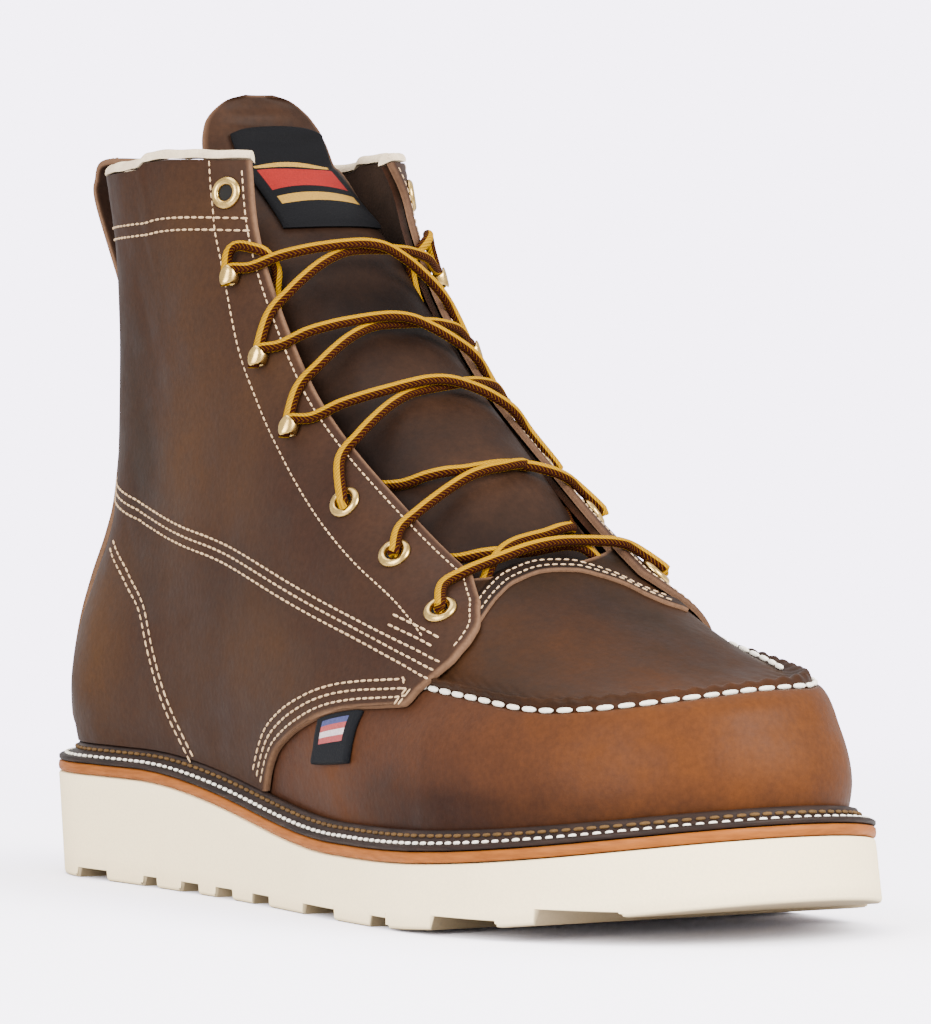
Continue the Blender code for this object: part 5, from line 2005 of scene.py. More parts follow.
@dataclass
class Quarter:
    """Quarter panel of one side with its rows of stitches."""

    palette: Palette
    stitching: Stitching
    side: Side
    seat: float = 5.575
    back_seam: float = 0.25
    run_columns: int = 84
    edge_steps: tuple[float, ...] = (0.0, 0.2, 0.5, 0.9, 1.4, 2.1, 3.0, 4.2, 5.8, 7.8, 10.0, 12.0)
    triple_top: Pairs = (
        (26.0, 5.3), (45.4, 5.16), (97.5, 4.80), (139.7, 4.56), (177.0, 4.36), (203.0, 4.05), (216.5, 3.82))
    triple_spacing: float = 2.35
    counter: Pairs = (
        (41.0, 4.02), (50.0, 3.62), (55.3, 3.36), (65.2, 2.88), (74.3, 2.04), (81.7, 1.40), (94.9, 0.44))
    stay_rear: Pairs = (
        (88.0, 8.95), (90.4, 8.4), (94.0, 7.88), (107.8, 6.84), (121.0, 6.28), (135.5, 5.84), (153.8, 5.44),
        (186.6, 4.84), (199.6, 4.52), (206.5, 4.28))
    box_start: float = 194.0
    box_rows: tuple[float, ...] = (2.4, 4.8)
    box_ends: tuple[float, ...] = (207.0, 208.8)
    collar_rows: tuple[float, ...] = (8.24, 8.08)
    collar_ends: tuple[float, float] = (3.0, 13.0)
    wing_rows: tuple[float, ...] = (2.2, 4.6, 7.0)
    stay_front: float = 2.4

    def rows(self) -> Array:
        """Levels of the panel's rows, close together where the wing runs level."""
        return np.concatenate([np.linspace(*part) for part in (
            (0.40, 2.05, 36), (2.07, 2.80, 50), (2.86, 4.7, 40), (4.74, 5.1, 12), (5.18, 9.0, 50))])

    def grid(self) -> tuple[Array, Array]:
        """Levels and places around of the panel's points.

        Returns:
            Levels and places, rows by columns.
        """
        nominal = self.rows()
        front = LAST.quarter_front(nominal, self.side)
        length = LAST.length(nominal, self.side)
        back = 1.0 - self.back_seam / length
        shares = []
        for f, b, size in zip(front, back, length):
            edge = f + np.array(self.edge_steps) / size
            shares.append(np.concatenate((edge, np.linspace(edge[-1], b, self.run_columns + 1)[1:])))
        share = np.array(shares)
        level = np.repeat(nominal[:, None], share.shape[1], axis=1)
        for i in np.nonzero(nominal < 0.8)[0]:
            t = (nominal[i] - 0.4) / 0.4
            low = LAST.level_at_rise(self.side, share[i], self.seat)
            level[i] = low * (1.0 - t) + 0.8 * t
        return level, self.side * share

    def build_panel(self) -> None:
        """Panel with a rounded, raw front edge."""
        level, around = self.grid()
        base, normal = LAST.frame_at(level, around)
        edge = base[:, 0]
        away = np.full(base.shape[:2], 1e9)
        for spot in edge:
            np.minimum(away, np.linalg.norm(base - spot, axis=-1), out=away)
        away = np.where(np.arange(base.shape[1]) == 0, 0.0, away)
        thick = WALLS.panel_outside - WALLS.panel_inside
        roll = rolled(away, 1.1)
        soft = relief(base)
        raise_edge = 0.15 * bump(away - 1.6, 1.2)
        out = WALLS.panel_inside + thick * (0.35 + 0.65 * roll) + soft + raise_edge
        outer = base + normal * out[..., None]
        inner = base + normal * (WALLS.panel_inside + np.minimum(soft, 0.0))[..., None]
        warm, dark = tones(base)
        raw = np.clip(1.25 - away / 0.9, 0.0, 1.0) * (1.0 if self.side is Side.LATERAL else 0.5)
        solid = Solid("quarter_panel_" + self.side.word)
        solid.add_shell(outer, inner, inside=1, inner_values={"edge": 0.9 * bump(away, 4.0)}, edge=raw,
                        warm=warm, dark=dark)
        settle(solid.make([self.palette("quarter"), self.palette("lining")]), Slot.LEATHER,
               ["quarter_" + self.side.word])

    def edge_line(self, low: float, high: float, inset: float, count: int = 160) -> tuple[Array, Array]:
        """Line a distance inside the panel's front edge between two levels.

        Args:
            low: First level.
            high: Last level.
            inset: Distance behind the edge.
            count: Number of points.

        Returns:
            Levels and places.
        """
        level = np.linspace(low, high, count)
        around = self.side * LAST.quarter_front(level, self.side)
        points = even_line(np.column_stack((LAST.point(level, around), level, around)), count)
        level, around = points[:, 3], points[:, 4]
        return beside(level, around, inset, LAST.point(4.0, self.side * 0.8))

    def build_stitches(self) -> None:
        """Every row that is sewn on the panel."""
        side, out = self.side, WALLS.panel_outside + 0.1
        inside = LAST.point(1.0, side * 0.7)
        top = stop_line(self.triple_top, side, 120)
        lines = [top, *(beside(*top, self.triple_spacing * step, inside) for step in (1, 2))]
        lines += [self.edge_line(0.5, 2.72, inset) for inset in self.wing_rows]
        counter = stop_line(self.counter, side)
        lines += [counter, beside(*counter, 2.5, LAST.point(2.0, side * 0.98))]
        for level in self.collar_rows:
            length = LAST.length(level, side)[0]
            start = LAST.quarter_front(level, side)[0] + self.collar_ends[0] / length
            places = side * np.linspace(start, 1.0 - self.collar_ends[1] / length, 60)
            lines.append((np.full(60, level) + np.linspace(-0.02, 0.06, 60), places))
        near = LAST.point(*top)[:, 0] > self.box_start
        short = (top[0][near][:-4], top[1][near][:-4])
        lines += [beside(*short, distance, LAST.point(8.0, side * 0.5)) for distance in self.box_rows]
        lines += [stop_line(((x, 2.74), (x + 1.6, 2.98)), side, 8) for x in self.box_ends]
        stay = [stop_line(self.stay_rear, side, 120), self.edge_line(4.2, 8.85, self.stay_front)]
        for name, sewn, seam in (("quarter", lines, FINE_SEAM), ("eyestay", stay, SMALL_SEAM)):
            rows = [surface_row(level, around, out) for level, around in sewn]
            self.stitching.sew(name + "_stitches_" + side.word, rows, seam)

    def build(self) -> None:
        """Build the panel and its stitches."""
        self.build_panel()
        self.build_stitches()


class LoopStop(NamedTuple):
    """Stop of the pull loop's line, and how much the strap curls across there."""

    x: float
    z: float
    curl: float


@dataclass
class Heel:
    """Backstay, pull loop and collar binding."""

    palette: Palette
    stitching: Stitching
    top_level: float = 7.9
    stay_edge: Pairs = ((0.0, 29.0), (2.0, 26.5), (4.0, 22.0), (6.0, 17.5), (8.0, 14.0))
    stitch_insets: tuple[float, float] = (2.4, 5.4)
    cross_rows: tuple[float, ...] = (4.55, 4.78, 6.5, 6.65)
    seat: float = 5.0
    tuck: float = 1.4
    loop_half: float = 14.0
    loop_top: float = 191.8
    stand_off: float = 16.4
    foot_level: float = 6.75
    binding_height: float = 2.9
    binding_over: float = 0.35

    def stay_half(self, level: Array) -> Array:
        """Half width of the backstay at a level."""
        levels, halves = zip(*self.stay_edge)
        return smooth_through(levels, halves, level)

    def stay_places(self, nominal: Array, across: Array) -> tuple[Array, Array]:
        """Levels and places on the backstay.

        Args:
            nominal: Levels of the rows.
            across: Shares of the half width, negative on the lateral side.

        Returns:
            Levels and places around, rows by columns.
        """
        level = np.repeat(nominal[:, None], len(across), axis=1)
        around = np.zeros_like(level)
        for column, share in enumerate(across):
            side = Side.LATERAL if share < 0 else Side.MEDIAL
            place = 1.0 - abs(share) * self.stay_half(nominal) / LAST.length(nominal, side)
            around[:, column] = side * np.minimum(place, 1.0 - TINY)
            low = LAST.level_at_rise(side, place, self.seat)
            level[:, column] = np.maximum(nominal, low)
        return level, around

    def build_backstay(self) -> None:
        """Strip up the back with rounded raw edges and its rows of stitches."""
        nominal = np.concatenate((np.linspace(0.25, 7.8, 80), np.linspace(7.82, self.top_level, 5)))
        across = np.concatenate([np.linspace(*part) for part in (
            (-1.0, -0.9, 6), (-0.86, 0.86, 33), (0.9, 1.0, 6))])
        level, around = self.stay_places(nominal, across)
        base, normal = LAST.frame_at(level, around)
        away = (1.0 - np.abs(across))[None, :] * self.stay_half(nominal)[:, None]
        roll = rolled(away, 1.0)
        soft = 0.5 * relief(base) + 0.2 * bump(away - 1.6, 1.2)
        seat = WALLS.stay_seat - self.tuck * (1.0 - eased((level - level[0]) / 0.4))
        outer = base + normal * (seat + WALLS.stay * (0.3 + 0.7 * roll) + soft)[..., None]
        inner = base + normal * seat[..., None]
        warm, dark = tones(base)
        solid = Solid("backstay_strip")
        solid.add_shell(outer, inner, edge=np.clip(1.2 - away / 0.8, 0.0, 1.0), warm=warm, dark=dark)
        settle(solid.make([self.palette("stay")]), Slot.LEATHER, ["backstay"])
        out = WALLS.stay_seat + WALLS.stay + 0.1
        rows = []
        for inset in self.stitch_insets:
            for side in Side:
                levels = np.linspace(0.9, 7.8, 120)
                place = 1.0 - (self.stay_half(levels) - inset) / LAST.length(levels, side)
                rows.append(surface_row(levels, side * place, out))
        for level in self.cross_rows:
            places = np.linspace(-1.0, 1.0, 41) * (self.stay_half(level) - self.stitch_insets[1])
            share = 1.0 - np.abs(places) / LAST.length(level, Side.LATERAL)[0]
            rows.append(surface_row(np.full(41, level), np.where(places < 0, -1.0, 1.0) * share, out))
        self.stitching.sew("backstay_stitches", rows, SMALL_SEAM)

    def loop_line(self) -> tuple[Array, Array]:
        """Middle line of the pull loop in its own plane, and its curl.

        Returns:
            Points of x and z, and curls.
        """
        foot = LAST.skin(self.foot_level, 1.0, WALLS.stay_seat + WALLS.stay + WALLS.strap / 2)
        collar = LAST.point(LAST.collar_level, 1.0)
        outside = collar[0] - self.stand_off - 1.5
        inside = collar[0] + WALLS.upper + self.binding_over + 1.0 + WALLS.strap / 2
        middle, top = (outside + inside) / 2, self.loop_top - WALLS.strap / 2
        rim = collar[2]
        stops = [LoopStop(*stop) for stop in (
            (foot[0], foot[2], 0.0155), (foot[0] - 0.8, foot[2] + 6.0, 0.0155),
            (foot[0] - 4.0, foot[2] + 16.0, 0.0135), (outside - 0.4, rim - 6.0, 0.0110),
            (outside, rim + 0.5, 0.0080), (outside + 2.6, top - 0.6, 0.0075), (middle + 1.0, top, 0.0090),
            (inside - 0.4, top - 0.9, 0.0155), (inside + 0.5, top - 4.0, 0.0165),
            (inside + 0.8, rim - 6.0, 0.0165), (inside + 2.4, rim - 12.0, 0.0165))]
        line = curve_through(np.array([(stop.x, stop.z, stop.curl * 300.0) for stop in stops]), 90)
        return line[:, :2], line[:, 2] / 300.0

    def build_loop(self) -> None:
        """Strap that stands off the collar and folds into the shaft."""
        line, curl = self.loop_line()
        heading = unit(np.gradient(line, axis=0))
        across = np.concatenate(([-1.0, -0.985, -0.95], np.linspace(-0.9, 0.9, 15), [0.95, 0.985, 1.0]))
        across = across * self.loop_half
        away = self.loop_half - np.abs(across)
        roll = rolled(away, 0.8)
        grids = []
        for sign in (1.0, -1.0):
            half = sign * WALLS.strap / 2 * (0.35 + 0.65 * roll)[None, :]
            x = line[:, :1] - heading[:, 1:] * half + curl[:, None] * np.square(across)
            z = line[:, 1:] + heading[:, :1] * half
            grids.append(np.stack((x, np.repeat(across[None, :], len(line), axis=0), z), axis=-1))
        warm, dark = tones(grids[0])
        solid = Solid("pull_strap")
        solid.add_shell(*grids, edge=np.clip(1.2 - away / 0.7, 0.0, 1.0), warm=warm, dark=dark)
        settle(solid.make([self.palette("stay")]), Slot.LEATHER, ["pull_loop"])
        normal = np.column_stack((-heading[:, 1], np.zeros(len(line)), heading[:, 0]))
        rows = []
        for y in (-self.loop_half + 2.6, self.loop_half - 2.6):
            points = np.column_stack((line[:, 0] + curl * y * y, np.full(len(line), y), line[:, 1]))
            rows.append(Row((points + normal * (WALLS.strap / 2 + 0.1))[2:60], normal[2:60]))
        self.stitching.sew("pull_strap_stitches", rows, SMALL_SEAM)

    def build_binding(self) -> None:
        """Rolled cream rim on the collar, from one eyestay round the back to the other."""
        low, high = -WALLS.upper - self.binding_over, WALLS.panel_outside + self.binding_over
        middle, reach = (low + high) / 2, (high - low) / 2
        turn = np.linspace(0.0, math.pi, 11)
        rise = self.binding_height - 0.9
        arch = [(middle + reach * math.cos(a), 0.9 + rise * math.sin(a)) for a in turn]
        section = [(high, 0.45), *arch, (low, 0.45)]
        places = []
        for side in Side:
            edge = LAST.share_at_gap(LAST.collar_level, side, LAST.throat_gap(LAST.collar_level, side))[0]
            run = side * np.linspace(edge, 1.0, 90)
            places.append(run if side is Side.LATERAL else run[-2::-1])
        around = np.concatenate(places)
        rows = []
        for out, up in section:
            ring = LAST.skin(np.full(len(around), LAST.collar_level), around, out)
            wave = 0.12 * np.sin(np.arange(len(around)) * 0.55)
            rows.append(ring + np.column_stack((np.zeros((len(around), 2)), up + wave)))
        solid = Solid("collar_rim")
        solid.add_tube(np.stack(rows, axis=1))
        settle(solid.make([self.palette("binding")]), Slot.BINDING, ["collar_binding"])

    def build(self) -> None:
        """Build the strip, the strap and the rim."""
        self.build_backstay()
        self.build_loop()
        self.build_binding()


# Tongue, its base and its label


@dataclass
class TongueBase:
    """Sewn-down base of the tongue, lying on the rear of the plug with a raw front edge."""

    palette: Palette
    stitching: Stitching
    edge: Pairs = (
        (-38.5, 3.72), (-33.4, 4.30), (-26.4, 4.62), (-17.8, 4.84), (-11.4, 4.93), (-3.2, 4.97), (5.9, 4.93),
        (10.6, 4.86), (15.4, 4.76), (18.3, 4.66), (22.8, 4.54),
        (26.5, 4.46), (30.0, 4.36))
    reach: tuple[float, float] = (-32.0, 28.5)
    steps: tuple[float, ...] = (0.0, 0.12, 0.3, 0.6, 1.1, 1.8, 2.6, 3.6, 4.6, 5.6, 6.6, 7.6, 8.8)
    seat: float = 0.15
    wall: float = 0.9
    sink: float = 3.4
    rows: tuple[float, float] = (1.7, 4.0)

    def line(self, behind: float, inset: float = 0.0) -> tuple[Array, Array]:
        """Levels and places along a line a distance behind the front edge.

        Args:
            behind: Distance behind the front edge.
            inset: Distance left out at both ends.

        Returns:
            Levels and places.
        """
        gap = np.linspace(self.reach[0] + inset, self.reach[1] - inset, 110)
        front = smooth_through(*zip(*self.edge), gap)
        level, around = front.copy(), np.zeros_like(gap)
        for _ in range(3):
            for side in Side:
                here = gap < 0 if side is Side.LATERAL else gap >= 0
                share = LAST.share_at_gap(level[here], side, np.abs(gap[here]))
                around[here] = side * np.maximum(share, TINY)
            level = front + behind / np.linalg.norm(LAST.slopes(level, around)[1], axis=-1)
        return level, around

    def build(self) -> None:
        """Build the strip and its two rows of stitches."""
        lines = [self.line(step) for step in self.steps]
        level, around = (np.array(part) for part in zip(*lines))
        base, normal = LAST.frame_at(level, around)
        step = np.repeat(np.array(self.steps)[:, None], level.shape[1], axis=1)
        roll = rolled(step, 0.6)
        down = self.sink * eased((step - 4.6) / 4.0)
        soft = relief(base)
        outer = base + normal * (self.seat + self.wall * (0.25 + 0.75 * roll) + soft - down)[..., None]
        inner = base + normal * (self.seat - 0.4 + soft - down)[..., None]
        solid = Solid("tongue_base")
        # The stored fold value is painted shade, darker where the strip sinks under the tongue.
        solid.add_shell(outer, inner, edge=np.clip(1.3 - step / 0.35, 0.0, 1.0),
                        fold=0.5 * eased((step - 4.6) / 3.0))
        settle(solid.make([self.palette("tongue")]), Slot.LEATHER)
        rows = [surface_row(*self.line(behind, 5.0), self.seat + self.wall + 0.08) for behind in self.rows]
        self.stitching.sew("tongue_base_stitches", rows, SMALL_SEAM)


class TongueStop(NamedTuple):
    """Row of the tongue: how far it reaches, sinks, leans back and rises."""

    level: float
    half_width: float
    sink: float
    lean: float
    lift: float
    shift: float


@dataclass
class Tongue:
    """Tongue with its soft folds, and the satin label near its top."""

    palette: Palette
    columns: int = 49
    rows: int = 130
    stops: tuple[TongueStop, ...] = tuple(TongueStop(*stop) for stop in (
        (4.72, 20.0, 2.4, 0.0, 0.0, 0.0), (5.4, 25.0, 3.4, 0.0, 0.0, 1.6),
        (6.2, 27.5, 4.0, 0.0, 0.0, 2.2), (7.0, 27.5, 4.2, 1.4, 0.0, 2.0),
        (7.8, 26.5, 4.4, 6.0, 0.0, 1.2), (8.4, 25.0, 4.6, 12.0, 0.0, 0.6),
        (9.0, 23.4, 4.8, 21.5, 0.5, 0.0), (9.0, 21.8, 4.8, 26.4, 7.5, -0.4),
        (9.0, 19.4, 4.8, 29.6, 12.8, -0.8), (9.0, 15.0, 4.8, 32.0, 17.0, -1.2),
        (9.0, 10.2, 4.8, 33.4, 19.6, -1.5), (9.0, 4.6, 4.8, 34.0, 20.9, -1.6)))
    bulge: float = 4.3
    label_low: float = 4.6
    label_high: float = 7.95
    label_round: float = 0.6
    label_half: float = 16.2
    label_shift: float = 2.8
    label_seat: float = 0.9
    label_wall: float = 0.7

    def sizes(self, row: Array) -> Array:
        """Table of sizes at places between its rows."""
        table = np.array(self.stops)
        return np.column_stack([smooth_through(np.arange(len(table)), column, row) for column in table.T])

    def waves(self, row: Array, across: Array) -> Array:
        """Soft waves across the tongue, as shares of their height.

        Args:
            row: Places along the table's rows.
            across: Shares of the half width, rows by columns.

        Returns:
            Heights.
        """
        wave = np.sin(row * 5.2 + 0.8 * np.sin(row * 1.7))[:, None] * bump(across, 0.75)
        calm = 1.0 - eased((row[:, None] - 8.0) / 1.5)
        return (0.45 * wave + 0.2 * np.sin(across * 4.0 + row[:, None] * 1.4)) * calm

    def face(self, row: Array, across: Array, deeper: float) -> Array:
        """Grid of points on the tongue.

        Args:
            row: Places along the table's rows.
            across: Shares of the half width, rows by columns.
            deeper: Distance under the outer face.

        Returns:
            Points, rows by columns.
        """
        level, half, sink, lean, lift, shift = self.sizes(row).T
        full = self.bulge * eased((row - 0.55) / 0.6) * (1.0 - eased((row - 4.2) / 1.6))
        grid = np.zeros(across.shape + (3,))
        for column in range(across.shape[1]):
            share = across[:, column]
            for side in Side:
                here = share < 0 if side is Side.LATERAL else share >= 0
                if not here.any():
                    continue
                gap = np.abs(share[here]) * half[here]
                place = side * np.maximum(LAST.share_at_gap(level[here], side, gap), TINY)
                raised = full[here] * (1.0 - np.abs(share[here]) ** (2.0 if side is Side.LATERAL else 3.2))
                spot = LAST.skin(level[here], place, raised - (WALLS.upper + sink[here] * 0.5 + deeper))
                drop = sink[here] * (1.0 - np.square(share[here])) * 0.5
                spot[:, 0] -= lean[here] + drop
                spot[:, 1] += shift[here]
                spot[:, 2] += lift[here]
                grid[here, column] = spot
        return grid + self.waves(row, across)[..., None] * np.array((0.8, 0.0, 0.6))

    def build_tongue(self) -> None:
        """Soft leather sheet with gentle waves across it."""
        row = np.linspace(0.0, len(self.stops) - 1.0, self.rows)
        across = np.repeat(np.linspace(-1.0, 1.0, self.columns)[None, :], self.rows, axis=0)
        outer = self.face(row, across, 0.0)
        inner = self.face(row, across, WALLS.tongue)
        away = np.minimum(np.abs(1 - np.abs(across)) * 20.0, (row[-1] - row[:, None]) * 2.0)
        warm, dark = tones(outer)
        raw = np.clip(1.1 - away / 1.1, 0.0, 1.0)
        solid = Solid("tongue_leather")
        # Painted shade in the troughs of the tongue's waves, stored as fold.
        fold = 0.7 * np.clip(-self.waves(row, across), 0.0, 1.0)
        solid.add_shell(outer, inner, inside=1, edge=raw * 0.8, fold=fold, warm=warm, dark=dark)
        settle(solid.make([self.palette("tongue"), self.palette("lining")]), Slot.LEATHER, ["tongue"])

    def build_label(self) -> None:
        """Satin patch with folded edges."""
        share, t = np.linspace(-1.0, 1.0, 41), np.linspace(0.0, 1.0, 46)
        seat, wall = self.label_seat, self.label_wall
        low, high = [], []
        for place in share:
            row = self.label_low + (self.label_high - self.label_round * place ** 2 - self.label_low) * t
            across = ((self.label_shift + self.label_half * place) / self.sizes(row)[:, 1])[:, None]
            low.append(self.face(row, across, 0.4 - seat)[:, 0])
            high.append(self.face(row, across, -seat - wall)[:, 0])
        low, high = np.stack(low, axis=1), np.stack(high, axis=1)
        ends = np.minimum(t, 1.0 - t)[:, None] * 24.0
        edge = np.minimum((1.0 - np.abs(share)) * self.label_half, ends)
        roll = 0.45 + 0.55 * rolled(edge, 1.0)
        outer = low + (high - low) * roll[..., None]
        solid = Solid("tongue_patch")
        solid.add_shell(outer, low, height=t[:, None], across=share)
        settle(solid.make([self.palette("label")]), Slot.LABEL, ["tongue_label"])

    def build(self) -> None:
        """Build the tongue and its label."""
        self.build_tongue()
        self.build_label()


@dataclass
class SideTab:
    """Folded fabric tab under the lateral wing."""

    palette: Palette
    top: tuple[float, float] = (171.0, 191.0)
    bottom: tuple[float, float] = (166.5, 187.0)
    bottom_levels: tuple[float, float] = (1.44, 1.26)
    seat: float = 0.3
    wall: float = 1.2

    def build(self) -> None:
        """Build the tab, from the wing's edge down to its fold, where it is a little proud."""
        t, share = np.linspace(0.0, 1.0, 28), np.linspace(0.0, 1.0, 24)
        levels = [stop.level for stop in QUARTER_EDGE if stop.level <= 2.7]
        edge_x = [stop.x for stop in QUARTER_EDGE if stop.level <= 2.7]
        ahead = self.top[1] + (self.top[0] - self.top[1]) * share
        high = smooth_through(edge_x, levels, ahead) - 0.03
        below = self.bottom[1] + (self.bottom[0] - self.bottom[1]) * share
        low = self.bottom_levels[0] + (self.bottom_levels[1] - self.bottom_levels[0]) * share
        level = high[None, :] + (low - high)[None, :] * t[:, None]
        x = ahead[None, :] + (below - ahead)[None, :] * t[:, None]
        around = np.array([-LAST.share_at_x(row, Side.LATERAL, places) for row, places in zip(level, x)])
        down = np.repeat((t / t[-1])[:, None], len(share), axis=1)
        edge = np.minimum(np.minimum(share, 1.0 - share)[None, :] * 19.0, (1.0 - down) * 12.0)
        roll = 0.4 + 0.6 * rolled(edge, 0.9)
        base, normal = LAST.frame_at(level, around)
        out = self.seat + relief(base)
        outer = base + normal * (out + self.wall * roll + 0.25 * bump(down - 0.9, 0.15))[..., None]
        inner = base + normal * out[..., None]
        solid = Solid("side_tab_cloth")
        solid.add_shell(outer, inner, height=1.0 - down, across=share * 2.0 - 1.0)
        settle(solid.make([self.palette("tab")]), Slot.LABEL, ["side_tab"])


# Lacing


class Station(NamedTuple):
    """Lace station on each eyestay."""

    name: str
    level: float
    inset: float
    hooked: bool


STATIONS = {station.name: station for station in (
    Station("1", 4.66, 10.2, False), Station("2", 5.18, 13.6, False), Station("3", 5.55, 15.6, False),
    Station("4", 6.08, 14.5, True), Station("5", 6.67, 11.5, True), Station("6", 7.47, 10.5, True),
    Station("7", 8.56, 7.2, False))}


class Seat(NamedTuple):
    """Point on a panel with its outward, backward and upward directions."""

    spot: Array
    out: Array
    back: Array
    up: Array

    def at(self, back: float, up: float, out: float) -> Array:
        """Point a distance away in the three directions."""
        return self.spot + self.back * back + self.up * up + self.out * out


def panel_seat(level: float, side: Side, inset: float) -> Seat:
    """Seat on the quarter panel, a distance behind the eyestay's edge.

    Args:
        level: Levels, counted in rings.
        side: Side of the boot.
        inset: Distance behind the edge.

    Returns:
        The seat.
    """
    place = LAST.stay_place(level, side, inset)
    base, out = LAST.frame_at(level, place)
    spot = base + out * (WALLS.panel_outside + float(relief(base)))
    back = unit(LAST.point(level, place + side * 0.01) - LAST.point(level, place - side * 0.01))
    return Seat(spot, out, back, np.cross(out, back) * -side)


@dataclass
class Fittings:
    """Rolled eyelets and pressed hooks up both eyestays."""

    palette: Palette
    scatter: Scatter
    turns: int = 36
    eyelet_section: Pairs = (
        (2.05, -0.9), (2.1, 0.5), (2.3, 0.9), (2.7, 1.15), (3.15, 1.2), (3.65, 1.05), (4.1, 0.7), (4.35, 0.3),
        (4.3, -0.05), (3.5, -0.3))
    hook_path: Pairs = (
        (1.4, 0.4), (0.2, 0.4), (-1.0, 0.5), (-1.7, 1.4), (-1.5, 2.9), (-0.5, 3.8), (0.6, 4.0), (1.5, 4.0))
    hook_halves: tuple[float, ...] = (1.4, 1.6, 1.6, 1.4, 1.5, 2.3, 2.8, 2.5)
    hook_foot: Pairs = ((1.8, -0.1), (1.9, 0.25), (1.7, 0.55), (1.1, 0.7))
    hook_wall: float = 0.9

    def hook_shape(self) -> Object:
        """Curled plate of a hook on its round foot.

        Returns:
            The pattern object.
        """
        line = curve_through(np.array(self.hook_path), 26)
        given = np.linspace(0, 1, len(self.hook_halves))
        halves = np.interp(np.linspace(0, 1, 26), given, self.hook_halves)
        halves[-3:] *= (0.93, 0.75, 0.4)
        halves[:2] *= (0.6, 0.9)
        heading = unit(np.gradient(line, axis=0))
        turn = np.linspace(0.0, 2 * math.pi, 14, endpoint=False)
        rows, sides = [], len(turn)
        for (along, rise), (run, climb), half in zip(line, heading, halves):
            for a in turn:
                wide = half * np.sign(math.cos(a)) * abs(math.cos(a)) ** 0.6
                thick = self.hook_wall / 2 * np.sign(math.sin(a)) * abs(math.sin(a)) ** 0.6
                rows.append((along - climb * thick, wide, rise + run * thick))
        faces = ring_quads(len(line), sides) + end_caps(len(line), sides)
        foot = self.hook_foot
        size = len(foot), 24
        faces += ring_quads(*size, len(rows)) + end_caps(*size, len(rows))
        return pattern(rows + turned_points(foot, size[1], 0.6), faces)

    def place(self, name: str, seats: Sequence[Seat], shape: Object, finish: str,
              nodes: Sequence[str]) -> None:
        """Set copies of a pattern on seats as one piece.

        Args:
            name: Name of the piece.
            seats: Places of the copies.
            shape: Pattern, removed afterwards.
            finish: Finish of the copies.
            nodes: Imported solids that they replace.
        """
        points = np.array([seat.spot for seat in seats])
        vectors = {name: np.array([getattr(seat, name) for seat in seats]) for name in ("out", "back")}
        values = {"Shape": shape, "Metal": self.palette(finish)}
        piece = self.scatter.run(name, points, [], vectors, self.scatter.fittings, values)
        settle(piece, Slot.BRASS if finish == "brass" else Slot.LEATHER, nodes)

    def build(self) -> None:
        """Build the eyelets, the dark discs of painted shade in their holes, and the hooks."""
        seats = {(station.name, side): panel_seat(station.level, side, station.inset)
                 for station in STATIONS.values() for side in Side}
        rings = [key for key in seats if not STATIONS[key[0]].hooked]
        hooks = [key for key in seats if STATIONS[key[0]].hooked]
        ring = lathe(self.eyelet_section, self.turns, True)
        self.place("eyelets", [seats[key] for key in rings], ring, "brass",
                   ["eyelet_%s_%s" % (side.word, name) for name, side in rings])
        # Dark discs in the eyelets: painted shade where the holes lie in shadow.
        self.place("eyelet_holes", [seats[key] for key in rings],
                   lathe(((2.2, -0.5), (2.2, 0.06), (0.4, 0.02)), self.turns, False), "hole", [])
        self.place("lace_hooks", [seats[key] for key in hooks], self.hook_shape(), "brass",
                   ["hook_%s_%s" % (side.word, name) for name, side in hooks])


class StrandEnd(Enum):
    """How a lace strand ends at a station."""

    EYELET = "eyelet"
    HOOK = "hook"
    UNDER = "under"


class Strand(NamedTuple):
    """One lace strand over the throat, and its levels from the stations at its ends and middle."""

    low: str
    high: str
    side: Side
    start: StrandEnd
    end: StrandEnd
    over: float
    rise: float
    crest: float
    fall: float


